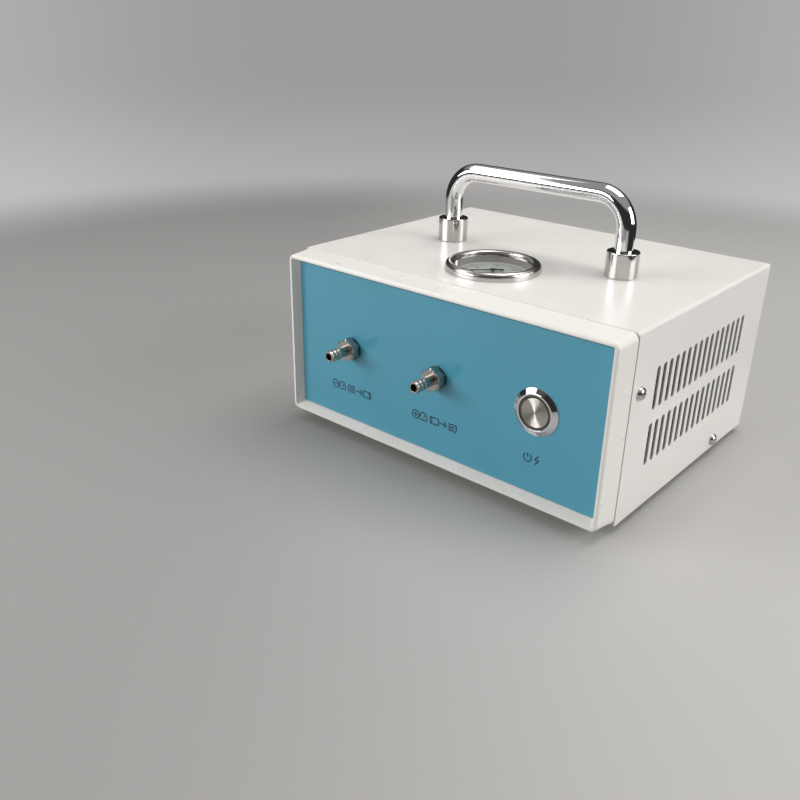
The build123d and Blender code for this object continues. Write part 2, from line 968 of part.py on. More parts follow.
def gauge_elbow():
    """A block screwed on the gauge's stem, with a barb to the left."""
    half = elbow_width / 2
    stem_low = cover_top - gauge_case_depth - gauge_stem_length
    top = stem_low + elbow_grip
    body = block(-half, half, gauge_y - half, gauge_y + half, elbow_z - half, top)
    body += pin_x(stub_size, -half - stub_length, -half, gauge_y, elbow_z)
    body -= pin_x(stub_bore, -half - stub_length, 0, gauge_y, elbow_z)
    body -= pin_z(stub_bore, 0, gauge_y, elbow_z, stem_low)
    body -= pin_z(gauge_stem + 2 * snug_gap, 0, gauge_y, stem_low - touch_gap, top)
    return body


def hose_tee():
    half = tee_body / 2
    reach = tee_reach
    body = pin_y(tee_body, inlet_x, tee_y - half, tee_y + half, fitting_z)
    body += pin_x(tee_body, inlet_x, inlet_x + half, tee_y, fitting_z)
    body += pin_y(stub_size, inlet_x, tee_y - reach, tee_y + reach, fitting_z)
    body += pin_x(stub_size, inlet_x, inlet_x + reach, tee_y, fitting_z)
    body -= pin_y(stub_bore, inlet_x, tee_y - reach, tee_y + reach, fitting_z)
    body -= pin_x(stub_bore, inlet_x, inlet_x + reach, tee_y, fitting_z)
    return body


def bend_radius(points, wanted):
    """The wanted radius, or the largest one that the runs beside each corner leave room for."""
    spots = [Vector(*point) for point in points]
    radius = wanted
    for before, corner, after in zip(spots, spots[1:], spots[2:]):
        turn = (corner - before).get_angle(after - corner)
        shorter = min((corner - before).length, (after - corner).length)
        radius = min(radius, 0.45 * shorter / tan(radians(turn / 2)))
    return radius


def rounded_path(points, wanted):
    """Straight runs through the points, joined by tangent arcs."""
    if len(points) == 2:
        return Polyline(*points)
    return FilletPolyline(*points, radius=bend_radius(points, wanted))


def hose(points):
    """A soft tube along straight runs joined by arcs, pushed over a barb at each end."""
    path = rounded_path(points, hose_bend)
    start = Plane(points[0], z_dir=path % 0)
    return sweep(start * (Circle(hose_size / 2) - Circle(hose_bore / 2)), path=path)


def inlet_hose():
    """Two lengths: from the front fitting to the tee, and from the tee up to the pump's inlet."""
    tee_front = tee_y - tee_body / 2 - touch_gap
    tee_rear = tee_y + tee_body / 2 + touch_gap
    first = tee_rear + stub_length + hose_lead
    last = nipple_front - hose_lead
    nipple_x = pump_x - nipple_spacing / 2
    front = hose([(inlet_x, stub_front + touch_gap, fitting_z), (inlet_x, tee_front, fitting_z)])
    rear = hose([
        (inlet_x, tee_rear, fitting_z),
        (inlet_x, first, fitting_z),
        (nipple_x, last, nipple_z),
        (nipple_x, pump_y - head_width / 2 - touch_gap, nipple_z),
    ])
    return together([front, rear])


def outlet_hose():
    """Runs straight back under the gauge, then rises to the pump's outlet."""
    end = pump_y - head_width / 2 - touch_gap
    nipple_x = pump_x + nipple_spacing / 2
    last = nipple_front - hose_lead
    return hose([
        (outlet_x, stub_front + touch_gap, fitting_z),
        (outlet_x, last - hose_slope, fitting_z),
        (nipple_x, last, nipple_z),
        (nipple_x, end, nipple_z),
    ])


def gauge_hose():
    """From the tee's branch back and up to the gauge's elbow."""
    start = inlet_x + tee_body / 2
    end = -elbow_width / 2
    lead_in = stub_length + hose_lead
    return hose([
        (start + touch_gap, tee_y, fitting_z),
        (start + lead_in, tee_y, fitting_z),
        (end - lead_in, gauge_y, elbow_z),
        (end - touch_gap, gauge_y, elbow_z),
    ])


def square_spots(spacing_x, spacing_y):
    """Four corners about the pump's centre: x and y."""
    for x in (-1, 1):
        for y in (-1, 1):
            yield pump_x + x * spacing_x / 2, pump_y + y * spacing_y / 2


def head_spots():
    return square_spots(head_screw_spacing, head_screw_spacing)


def mount_spots():
    return square_spots(mount_spacing, mount_spacing)


def pump_foot_spots():
    return square_spots(2 * foot_screw_x, 2 * foot_screw_y)


def crankcase_outline():
    """End view of the casting: foot, tapering web, barrel and tower, in Y and Z."""
    rise = crank_z - bracket_top
    foot = Pos(0, foot_thickness / 2) * Rectangle(foot_width, foot_thickness)
    web = make_face(Polyline(
        (-foot_width / 2 + 2 * foot_thickness, foot_thickness),
        (foot_width / 2 - 2 * foot_thickness, foot_thickness),
        (tower_width / 3, rise),
        (-tower_width / 3, rise),
        close=True,
    ))
    barrel = Pos(0, rise) * Circle(crank_barrel / 2)
    tower = Pos(0, rise + rim_rise / 2) * Rectangle(tower_width, rim_rise)
    return foot + web + barrel + tower


def crankcase():
    outline = Pos(pump_y, bracket_top) * crankcase_outline()
    body = Pos(pump_x - crankcase_half, 0, 0) * extrude(Plane.YZ * outline, 2 * crankcase_half)
    flange = RectangleRounded(head_width, head_width, head_corner)
    body += Pos(pump_x, pump_y, rim_z - head_flange) * extrude(flange, head_flange)
    wall = motor_x - motor_wall
    body -= pin_x(crank_bore, pump_x - crankcase_half, wall, pump_y, crank_z)
    body -= pin_z(crank_bore, pump_x, pump_y, crank_z, rim_z)
    body -= pin_x(motor_boss + 2 * snug_gap, wall, motor_x, pump_y, crank_z)
    for y in (-1, 1):
        offset = y * motor_screw_circle / 2
        body -= pin_x(motor_screw + 2 * hole_gap, wall, motor_x, pump_y + offset, crank_z)
    for x, y in head_spots():
        body -= pin_z(head_screw + 2 * snug_gap, x, y, rim_z - head_screw_grip - moving_gap, rim_z)
    for x, y in pump_foot_spots():
        body -= pin_z(head_screw + 2 * hole_gap, x, y, bracket_top, bracket_top + foot_thickness)
    return body


def head_screws():
    length = head_top - rim_z + head_screw_grip
    bolt = screw(head_screw, length, head_screw_head, head_screw_head_height)
    return together(Pos(x, y, head_top) * bolt for x, y in head_spots())


def pump_screws():
    bolt = screw(head_screw, foot_thickness + bracket_sheet, head_screw_head, head_screw_head_height)
    return together(Pos(x, y, bracket_top + foot_thickness) * bolt for x, y in pump_foot_spots())


def diaphragm():
    """A thin disc with one rolled wave, clamped at its rim and raised at its middle."""
    hole = retainer_screw / 2 + hole_gap
    inner = roll_inside / 2
    outer = roll_outside / 2
    rim = diaphragm_size / 2
    middle = (inner + outer) / 2
    thick = diaphragm_thickness
    under = Line((hole, pump_throw), (inner, pump_throw))
    wave = ThreePointArc(under @ 1, (middle, -roll_dip), (outer, 0))
    edge = Polyline(wave @ 1, (rim, 0), (rim, thick), (outer, thick))
    upper = ThreePointArc(edge @ 1, (middle, thick - roll_dip), (inner, pump_throw + thick))
    close = Polyline(upper @ 1, (hole, pump_throw + thick), (hole, pump_throw))
    profile = make_face(Plane.XZ * (under + wave + edge + upper + close))
    return Pos(pump_x, pump_y, rim_z) * revolve(profile, Axis.Z)


def valve_spots():
    """Inlet side first: x of each valve's centre."""
    return pump_x - valve_offset, pump_x + valve_offset


def valve_plate():
    outline = RectangleRounded(head_width, head_width, head_corner)
    body = Pos(pump_x, pump_y, plate_low) * extrude(outline, plate_top - plate_low)
    chamber = turned_z([
        (0, 0),
        (roll_outside / 2, 0),
        (chamber_roof / 2, chamber_depth),
        (0, chamber_depth),
    ])
    body -= Pos(pump_x, pump_y, plate_low) * chamber
    inlet, outlet = valve_spots()
    body -= pin_z(valve_pocket, inlet, pump_y, roof_z, roof_z + valve_pocket_depth)
    body -= pin_z(valve_pocket, outlet, pump_y, plate_top - valve_pocket_depth, plate_top)
    for x in (inlet, outlet):
        body -= pin_z(valve_stem + 2 * hole_gap, x, pump_y, roof_z, plate_top)
        for spot in PolarLocations(port_circle / 2, port_count):
            body -= Pos(x, pump_y, 0) * spot * pin_z(port_size, 0, 0, roof_z, plate_top)
    for x, y in head_spots():
        body -= pin_z(head_screw + 2 * hole_gap, x, y, plate_low, plate_top)
    return body


def valve_flaps():
    """Two rubber discs on stems: one under the plate lets air in, one above lets it out."""
    inlet, outlet = valve_spots()
    under = roof_z + valve_pocket_depth
    above = plate_top - valve_pocket_depth
    inlet_flap = pin_z(valve_disc, inlet, pump_y, under - valve_disc_thickness, under)
    inlet_flap += pin_z(valve_stem, inlet, pump_y, under, plate_top + valve_disc_thickness)
    outlet_flap = pin_z(valve_disc, outlet, pump_y, above, above + valve_disc_thickness)
    outlet_flap += pin_z(valve_stem, outlet, pump_y, roof_z + touch_gap, above)
    return together([inlet_flap, outlet_flap])


def cylinder_head():
    """Two air chambers side by side, fins on top and a nipple from each to the front."""
    outline = RectangleRounded(head_width, head_width, head_corner)
    body = Pos(pump_x, pump_y, plate_top) * extrude(outline, head_height - head_fin_height)
    fins_low = head_top - head_fin_height
    front = pump_y - head_width / 2
    half = head_fin / 2
    for number in range(head_fin_count):
        x = pump_x + (number - (head_fin_count - 1) / 2) * head_fin_pitch
        body += block(x - half, x + half, front, front + head_width, fins_low, head_top)
    for x, y in head_spots():
        body += pin_z(head_screw_head, x, y, fins_low, head_top)
        body -= pin_z(head_screw + 2 * hole_gap, x, y, plate_top, head_top)
    for side in (-1, 1):
        x = pump_x + side * nipple_spacing / 2
        middle = pump_x + side * (head_chamber_width / 2 + head_fin)
        body -= block(
            middle - head_chamber_width / 2,
            middle + head_chamber_width / 2,
            pump_y - head_chamber_length / 2 + head_screw_head / 2,
            pump_y + head_chamber_length / 2 - head_screw_head / 2,
            plate_top,
            plate_top + head_chamber_depth,
        )
        body += pin_y(stub_size, x, nipple_front, pump_y - head_width / 2, nipple_z)
        body -= pin_y(stub_bore, x, nipple_front, pump_y, nipple_z)
    return body


def connecting_rod():
    """Big end round the bearing, a waisted stem and the plate under the diaphragm."""
    centre_z = crank_z + pump_throw
    plate_high = rim_z + pump_throw
    plate_under = plate_high - rod_plate_thickness
    half = rod_width / 2
    rod = pin_x(big_end, pump_x - half, pump_x + half, pump_y, centre_z)
    stem = make_face(Polyline(
        (pump_y - rod_stem_root / 2, centre_z),
        (pump_y + rod_stem_root / 2, centre_z),
        (pump_y + rod_stem / 2, plate_under),
        (pump_y - rod_stem / 2, plate_under),
        close=True,
    ))
    rod += Pos(pump_x - half, 0, 0) * extrude(Plane.YZ * stem, rod_width)
    rod += pin_z(rod_plate, pump_x, pump_y, plate_under, plate_high)
    rod -= pin_x(bearing_outside + 2 * snug_gap, pump_x - half, pump_x + half, pump_y, centre_z)
    screw_end = plate_high - retainer_screw_grip - moving_gap
    rod -= pin_z(retainer_screw + 2 * snug_gap, pump_x, pump_y, screw_end, plate_high)
    return rod


def rod_bearing():
    half = bearing_width / 2
    ring = turned_x([
        (-half, bearing_bore / 2 + running_gap),
        (-half, bearing_outside / 2),
        (half, bearing_outside / 2),
        (half, bearing_bore / 2 + running_gap),
    ])
    return Pos(pump_x, pump_y, crank_z + pump_throw) * ring


def diaphragm_retainer():
    """The disc on top of the diaphragm and the screw that holds it to the rod."""
    low = rim_z + pump_throw + diaphragm_thickness
    disc = pin_z(retainer_size, 0, 0, 0, retainer_thickness)
    disc -= pin_z(retainer_screw + 2 * snug_gap, 0, 0, 0, retainer_thickness)
    disc -= pin_z(retainer_head, 0, 0, retainer_thickness / 2, retainer_thickness)
    length = diaphragm_thickness + retainer_screw_grip
    bolt = pin_z(retainer_screw, 0, 0, -length, retainer_thickness / 2)
    bolt += pin_z(retainer_head - 2 * hole_gap, 0, 0, retainer_thickness / 2, retainer_thickness)
    return Pos(pump_x, pump_y, low) * together([disc, bolt])


def eccentric():
    """Offset journal for the bearing, with a half-disc counterweight beside it."""
    half = rod_width / 2
    weight_start = half + moving_gap
    weight_end = weight_start + counterweight_thickness
    body = pin_x(bearing_bore, -half, weight_start, 0, pump_throw)
    weight = pin_x(counterweight_size, weight_start, weight_end, 0, 0)
    weight -= block(weight_start, weight_end, -counterweight_size, counterweight_size, 0, counterweight_size)
    body += weight
    body += pin_x(motor_boss, weight_start, weight_end, 0, 0)
    body -= pin_x(shaft_size + 2 * snug_gap, -half, weight_end, 0, 0)
    return Pos(pump_x, pump_y, crank_z) * body


def motor_can():
    """A drawn steel cup with its closed end against the crankcase."""
    outer = motor_size / 2
    inner = outer - motor_sheet
    boss = motor_boss / 2
    bush = bush_size / 2 + snug_gap
    can = turned_x([
        (-motor_boss_depth, bush),
        (-motor_boss_depth, boss),
        (0, boss),
        (0, outer - 2 * motor_sheet),
        (2 * motor_sheet, outer),
        (motor_length, outer),
        (motor_length, inner),
        (motor_face, inner),
        (motor_face, bush),
    ])
    for y in (-1, 1):
        can -= pin_x(motor_screw + 2 * snug_gap, 0, motor_face, y * motor_screw_circle / 2, 0)
    return Pos(motor_x, pump_y, crank_z) * can


def motor_end_cap():
    """Plastic cap in the can's open end, with a collar for the rear bush."""
    outer = motor_size / 2
    inner = outer - motor_sheet - snug_gap
    bush = bush_size / 2 + snug_gap
    return Pos(cap_x, pump_y, crank_z) * turned_x([
        (-bush_length, bush),
        (-bush_length, bush + bush_collar),
        (-end_cap_spigot, bush + bush_collar),
        (-end_cap_spigot, inner),
        (0, inner),
        (0, outer),
        (end_cap_thickness, outer - end_cap_floor),
        (end_cap_thickness, 0),
        (end_cap_thickness - end_cap_floor, 0),
        (end_cap_thickness - end_cap_floor, bush),
    ])


def tab_terminals():
    """Flat tabs for the leads: two on the switch's rear and two on the motor's end."""
    start = cap_x + end_cap_thickness
    tabs = []
    for side in (-1, 1):
        x = button_x + side * tab_spacing
        y = pump_y + side * tab_spacing
        tabs.append(block(
            x - tab_width / 2,
            x + tab_width / 2,
            switch_rear(),
            switch_rear() + tab_length,
            fitting_z - tab_thickness / 2,
            fitting_z + tab_thickness / 2,
        ))
        tabs.append(block(
            start,
            start + tab_length,
            y - tab_width / 2,
            y + tab_width / 2,
            crank_z - tab_thickness / 2,
            crank_z + tab_thickness / 2,
        ))
    return together(tabs)


def bush_starts():
    return motor_x - motor_boss_depth, cap_x - bush_length


def motor_bushes():
    ring = turned_x([
        (0, shaft_size / 2 + running_gap),
        (0, bush_size / 2),
        (bush_length, bush_size / 2),
        (bush_length, shaft_size / 2 + running_gap),
    ])
    return together(Pos(x, pump_y, crank_z) * ring for x in bush_starts())


def motor_magnets():
    """Two curved magnets against the inside of the can."""
    outer = motor_size / 2 - motor_sheet - snug_gap
    start = (motor_length - magnet_length) / 2
    arcs = Circle(outer) - Circle(magnet_inside / 2) - Rectangle(magnet_split, 2 * outer)
    return Pos(motor_x + start, pump_y, crank_z) * extrude(Plane.YZ * arcs, magnet_length)


def motor_armature():
    """Slotted iron core and commutator, pressed on the shaft."""
    start = (motor_length - armature_length) / 2
    core = Circle(armature_diameter / 2) - Circle(shaft_size / 2 + snug_gap)
    for spot in PolarLocations(armature_diameter / 2, armature_slots):
        core -= spot * SlotOverall(armature_diameter / 2, armature_slot)
    iron = Pos(start, 0, 0) * extrude(Plane.YZ * core, armature_length)
    ring = Circle(commutator_size / 2) - Circle(shaft_size / 2 + snug_gap)
    copper = Pos(start + armature_length, 0, 0) * extrude(Plane.YZ * ring, commutator_length)
    return Pos(motor_x, pump_y, crank_z) * (iron + copper)


def motor_shaft():
    start = pump_x - rod_width / 2 - touch_gap
    end = cap_x + end_cap_thickness - end_cap_floor - moving_gap
    return pin_x(shaft_size, start, end, pump_y, crank_z)


def motor_screws():
    wall = motor_x - motor_wall
    bolt = Rot(0, -90, 0) * screw(motor_screw, motor_wall + motor_face, 2 * motor_screw, motor_screw / 2)
    return together(
        Pos(wall, pump_y + y * motor_screw_circle / 2, crank_z) * bolt for y in (-1, 1)
    )


def pump_bracket():
    """A flat plate with two edges turned up, on four rubber mounts."""
    half = bracket_width / 2
    low = bracket_top - bracket_sheet
    plate = block(-half, half, -half, half, low, bracket_top)
    for side in (-1, 1):
        inner = side * (half - bracket_sheet)
        outer = side * half
        plate += block(-half, half, min(inner, outer), max(inner, outer), low, low + bracket_flange)
    plate = Pos(pump_x, pump_y, 0) * plate
    for x, y in mount_spots():
        plate -= pin_z(mount_screw + 2 * snug_gap, x, y, low, bracket_top)
    for x, y in pump_foot_spots():
        plate -= pin_z(head_screw + 2 * snug_gap, x, y, low, bracket_top)
    return plate


def rubber_mounts():
    """Waisted rubber bobbins between the pan and the bracket."""
    hole = mount_screw / 2 + hole_gap
    edge = mount_height / 5
    bobbin = turned_z([
        (hole, 0),
        (mount_size / 2, 0),
        (mount_size / 2, edge),
        (mount_waist / 2, 2 * edge),
        (mount_waist / 2, 3 * edge),
        (mount_size / 2, 4 * edge),
        (mount_size / 2, 5 * edge),
        (hole, 5 * edge),
    ])
    return together(Pos(x, y, pan_floor) * bobbin for x, y in mount_spots())


def mount_screws():
    """Screws from below the pan, up through the mounts into the bracket."""
    length = pan_sheet + mount_height + bracket_sheet
    bolt = Rot(180, 0, 0) * screw(mount_screw, length, mount_screw_head, mount_screw_head_height)
    return together(Pos(x, y, foot_gap) * bolt for x, y in mount_spots())


def foot_spots():
    """Four feet: x and y."""
    half = case_width / 2 - foot_inset
    for x in (-half, half):
        for back in (foot_inset, cover_depth - foot_inset):
            yield x, seam_y + back


def rubber_feet():
    """Feet that narrow downwards, with a neck and a cap that snaps over the pan."""
    foot = turned_z([
        (0, 0),
        (foot_size / 2 - foot_taper, 0),
        (foot_size / 2, foot_gap),
        (foot_neck / 2, foot_gap),
        (foot_neck / 2, pan_floor),
        (foot_cap / 2, pan_floor),
        (foot_neck / 2, pan_floor + foot_cap_height),
        (0, pan_floor + foot_cap_height),
    ])
    return together(Pos(x, y, 0) * foot for x, y in foot_spots())


def jack_z():
    return foot_gap + jack_height


def jack_rear():
    """Where the jack's body ends inside the case."""
    return rear_wall_y - jack_barrel_length


def dc_jack():
    mouth = rear_wall_y + jack_flange_thickness
    body = pin_y(jack_flange, jack_x, rear_wall_y, mouth, jack_z())
    body += pin_y(jack_barrel, jack_x, jack_rear(), rear_wall_y, jack_z())
    body -= pin_y(jack_bore, jack_x, mouth - jack_bore_depth, mouth, jack_z())
    body += pin_y(jack_pin, jack_x, mouth - jack_bore_depth, mouth - jack_pin_sink, jack_z())
    for side in (-1, 1):
        x = jack_x + side * tab_spacing / 2
        body += block(
            x - tab_thickness / 2,
            x + tab_thickness / 2,
            jack_rear() - tab_length,
            jack_rear(),
            jack_z() - tab_width / 2,
            jack_z() + tab_width / 2,
        )
    return body


def dc_jack_nut():
    nut = hexagon(jack_nut_hex, jack_nut_thickness)
    nut -= pin_z(jack_barrel + 2 * snug_gap, 0, 0, 0, jack_nut_thickness)
    return Pos(jack_x, rear_wall_y - pan_sheet, jack_z()) * Rot(90, 0, 0) * nut


def lead(points):
    """A thin insulated wire along straight runs joined by arcs."""
    path = rounded_path(points, lead_bend)
    start = Plane(points[0], z_dir=path % 0)
    return sweep(start * Circle(lead_size / 2), path=path)


def inner_leads():
    """Inlet to switch along the pan, switch to motor, and inlet straight to motor."""
    tab_end = jack_rear() - tab_length - touch_gap
    pin_end = switch_rear() + tab_length + touch_gap
    low = pan_floor + 2 * lead_size
    outside = jack_x + tab_spacing / 2
    run = outside + tab_spacing
    right = button_x + tab_spacing
    left = button_x - tab_spacing
    to_switch = lead([
        (outside, tab_end, jack_z()),
        (outside, tab_end - 2 * lead_bend, jack_z()),
        (run, tab_end - 6 * lead_bend, low),
        (run, pin_end + 6 * lead_bend, low),
        (right, pin_end + 2 * lead_bend, fitting_z),
        (right, pin_end, fitting_z),
    ])
    motor_end = cap_x + end_cap_thickness + tab_length + touch_gap
    motor_tab = pump_y - tab_spacing
    to_motor = lead([
        (left, pin_end, fitting_z),
        (left, pin_end + 2 * lead_bend, fitting_z),
        (left - tab_spacing, pin_end + 7 * lead_bend, crank_z - 2 * lead_bend),
        (left - tab_spacing, motor_tab - 3 * lead_bend, crank_z - 2 * lead_bend),
        (motor_end + 2 * lead_bend, motor_tab, crank_z),
        (motor_end, motor_tab, crank_z),
    ])
    inside = jack_x - tab_spacing / 2
    straight = lead([
        (inside, tab_end, jack_z()),
        (inside, tab_end - lead_bend, jack_z()),
        (motor_end + 2 * lead_bend, pump_y + tab_spacing, crank_z),
        (motor_end, pump_y + tab_spacing, crank_z),
    ])
    return together([to_switch, to_motor, straight])


nodes = [
    top_cover,
    base_pan,
    cover_screws,
    front_bezel,
    bezel_screws,
    front_panel,
    inlet_barb,
    outlet_barb,
    barb_washers,
    barb_locknuts,
    button_housing,
    button_light_ring,
    button_cap,
    button_spring,
    button_locknut,
    switch_body,
    handle_bar,
    handle_collars,
    handle_screws,
    gauge_bezel,
    gauge_case,
    gauge_lens,
    gauge_dial,
    gauge_needle,
    gauge_movement,
    bourdon_tube,
    gauge_socket,
    gauge_clamp,
    gauge_clamp_nuts,
    gauge_elbow,
    hose_tee,
    inlet_hose,
    outlet_hose,
    gauge_hose,
    crankcase,
    head_screws,
    pump_screws,
    diaphragm,
    diaphragm_retainer,
    connecting_rod,
    rod_bearing,
    eccentric,
    valve_plate,
    valve_flaps,
    cylinder_head,
    motor_can,
    motor_end_cap,
    tab_terminals,
    motor_bushes,
    motor_magnets,
    motor_armature,
    motor_shaft,
    motor_screws,
    pump_bracket,
    rubber_mounts,
    mount_screws,
    rubber_feet,
    dc_jack,
    dc_jack_nut,
    inner_leads,
]

os.makedirs("parts", exist_ok=True)
for node in nodes:
    export_step(node(), f"parts/{node.__name__}.step")
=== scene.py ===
# %% [markdown]
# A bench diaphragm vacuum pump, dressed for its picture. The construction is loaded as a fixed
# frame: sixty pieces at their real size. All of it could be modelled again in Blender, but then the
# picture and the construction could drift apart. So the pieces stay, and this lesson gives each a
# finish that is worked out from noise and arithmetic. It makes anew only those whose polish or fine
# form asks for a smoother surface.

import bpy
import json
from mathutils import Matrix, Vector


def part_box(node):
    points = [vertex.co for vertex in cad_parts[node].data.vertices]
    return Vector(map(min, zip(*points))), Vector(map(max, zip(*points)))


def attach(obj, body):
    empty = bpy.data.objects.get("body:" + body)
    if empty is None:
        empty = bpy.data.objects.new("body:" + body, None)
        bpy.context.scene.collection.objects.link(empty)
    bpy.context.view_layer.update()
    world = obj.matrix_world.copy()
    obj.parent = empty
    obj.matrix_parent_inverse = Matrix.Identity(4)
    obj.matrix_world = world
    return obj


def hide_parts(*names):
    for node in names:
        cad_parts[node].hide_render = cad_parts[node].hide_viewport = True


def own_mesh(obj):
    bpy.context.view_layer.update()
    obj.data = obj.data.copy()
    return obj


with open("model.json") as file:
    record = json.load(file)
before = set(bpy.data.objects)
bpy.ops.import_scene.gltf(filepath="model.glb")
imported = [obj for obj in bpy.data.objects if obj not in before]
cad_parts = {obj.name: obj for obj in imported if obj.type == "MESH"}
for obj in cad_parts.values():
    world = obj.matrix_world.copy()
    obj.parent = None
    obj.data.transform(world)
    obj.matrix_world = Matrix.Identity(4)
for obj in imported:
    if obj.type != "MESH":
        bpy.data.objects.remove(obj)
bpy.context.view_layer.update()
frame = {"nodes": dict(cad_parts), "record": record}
print("pieces in the frame:", len(frame["nodes"]))

# %% [markdown]
# Three libraries do the work: bpy makes objects and materials, numpy works out whole surfaces at
# once, and bmesh merges points and turns faces. Blender counts in metres and the pump is drawn in
# millimetres, so one value, mm, stands between them. The Standard view shows a colour as it is
# given, where a filmic one would grey the cream and the teal.

# %% Tools of the trade
import json
from math import radians

import bmesh
import bpy
import numpy as np
from mathutils import Matrix, Vector

mm = 0.001
scene = bpy.context.scene
scene.view_settings.view_transform = "Standard"

# %% [markdown]
# The camera stands to the right of the front and looks down on the case. It could be moved by eye
# until the picture fits, but its place and its turn were solved from the straight edges of the
# case, which is surer. A camera looks along its own -Z, so its axes are written as the columns of
# a matrix: to the right, up, and backwards. A slight roll tilts the picture by one degree.

# %% Camera
camera_spot = np.array((304.1, -470.6, 272.0)) * mm
azimuth, elevation, roll = radians(40.889), radians(24.534), radians(1.019)
picture_width = 800.0
focal_pixels = 857.6

forward = np.array((-np.sin(azimuth), np.cos(azimuth), 0)) * np.cos(elevation)
forward[2] = -np.sin(elevation)
level = np.cross(forward, (0, 0, 1))
level /= np.linalg.norm(level)
upright = np.cross(level, forward)
right = np.cos(roll) * level + np.sin(roll) * upright
up = np.cross(right, forward)

eye = bpy.data.cameras.new("camera")
eye.sensor_width = 36.0
eye.lens = focal_pixels / picture_width * eye.sensor_width
eye.clip_start = 10 * mm
camera = bpy.data.objects.new("camera", eye)
turn = Matrix(np.column_stack((right, up, -forward)).tolist()).to_4x4()
camera.matrix_world = Matrix.Translation(camera_spot) @ turn
scene.collection.objects.link(camera)
scene.camera = camera
print("lens in mm:", round(eye.lens, 2))

# %% [markdown]
# A shader is a sum, and it reads best as one. Nodes could be placed and linked one by one, but the
# thought is soon lost among the links. Wire wraps an output socket: adding or multiplying two
# wires adds a Math node. Shader.node makes every other node, with its settings first and its
# sockets after. Patterns are measured in millimetres on the object itself, so they stay put when
# the camera or a joint moves.

# %% Shader maths as Python
class Wire:
    """An output socket. Arithmetic on it adds Math nodes to its tree."""

    def __init__(self, shader, socket):
        self.shader = shader
        self.socket = socket

    def __add__(self, other):
        return self.shader.maths("ADD", self, other)

    def __sub__(self, other):
        return self.shader.maths("SUBTRACT", self, other)

    def __rsub__(self, other):
        return self.shader.maths("SUBTRACT", other, self)

    def __mul__(self, other):
        return self.shader.maths("MULTIPLY", self, other)

    __radd__ = __add__
    __rmul__ = __mul__


class Shader:
    """The node tree of a material or a world."""

    def __init__(self, owner):
        owner.use_nodes = True
        self.owner = owner
        self.tree = owner.node_tree
        self.tree.nodes.clear()

    def node(self, kind, settings, sockets, output=0):
        made = self.tree.nodes.new("ShaderNode" + kind)
        for name, value in settings.items():
            setattr(made, name, value)
        for key, value in sockets.items():
            if isinstance(value, Wire):
                self.tree.links.new(value.socket, made.inputs[key])
            else:
                made.inputs[key].default_value = value
        return Wire(self, made.outputs[output]) if made.outputs else None

    def maths(self, operation, first, second):
        return self.node("Math", {"operation": operation}, {0: first, 1: second})

    def vector(self, operation, first, second=(0, 0, 0), output="Vector"):
        """Places, directions and normals are added and measured by a Vector Math node."""
        return self.node("VectorMath", {"operation": operation}, {0: first, 1: second}, output)

    def spot(self, centre=(0, 0, 0), stretch=(1, 1, 1)):
        """Millimetres from a centre on the object, drawn out by a factor along each axis."""
        place = self.node("TexCoord", {}, {}, "Object")
        sizes = [mm * factor for factor in stretch]
        settings = {"vector_type": "TEXTURE"}
        return self.node("Mapping", settings, {"Vector": place, "Location": centre, "Scale": sizes})

    def noise(self, size, detail=2.0, place=None):
        """Cloudy noise from 0 to 1 whose patches are about size millimetres across."""
        sockets = {"Vector": place or self.spot(), "Scale": 1 / size, "Detail": detail}
        return self.node("TexNoise", {}, sockets)

    def smooth(self, value, start, end, low=0.0, high=1.0):
        """Goes from low to high in an S-curve as the value goes from start to end."""
        sockets = {"Value": value, "From Min": start, "From Max": end, "To Min": low}
        sockets["To Max"] = high
        return self.node("MapRange", {"interpolation_type": "SMOOTHSTEP"}, sockets)

    def mix(self, factor, first, second):
        """A colour between two colours."""
        sockets = {0: factor, 6: colour(first), 7: colour(second)}
        return self.node("Mix", {"data_type": "RGBA"}, sockets, 2)

    def bump(self, height, depth):
        """Normals of a surface whose height varies by depth millimetres."""
        return self.node("Bump", {}, {"Height": height, "Distance": depth * mm})

    def principled(self, sockets):
        skin = self.node("BsdfPrincipled", {}, sockets)
        self.node("OutputMaterial", {}, {"Surface": skin})
        return self.owner


def colour(value):
    return value if isinstance(value, Wire) else (*value, 1.0)


def material(name):
    return Shader(bpy.data.materials.new(name))


def shade(tone, factor):
    return tuple(min(channel * factor, 1.0) for channel in tone)


print("a lighter grey:", shade((0.5, 0.5, 0.5), 1.2))

# %% [markdown]
# The studio is plain: a grey paper on the floor whose far edge fades into a grey wall. A paper
# that curves up behind the object would do it too, but its bend shows in polished metal. So the
# paper is flat and turns clear towards its rim, and the wall is the world's own colour. Seen by
# the camera it is a soft gradient, a little lighter where it meets the floor. Matt surfaces are
# lit by an even grey, and mirrors see a dark room between the floor and the ceiling, which gives
# chrome its dark lines.

# %% Floor and wall
floor_grey = (0.47, 0.462, 0.452)
floor_reach = 3.0
fade_start, fade_end = 720.0, 1050.0
room_right = (0.756, 0.655, 0.0)


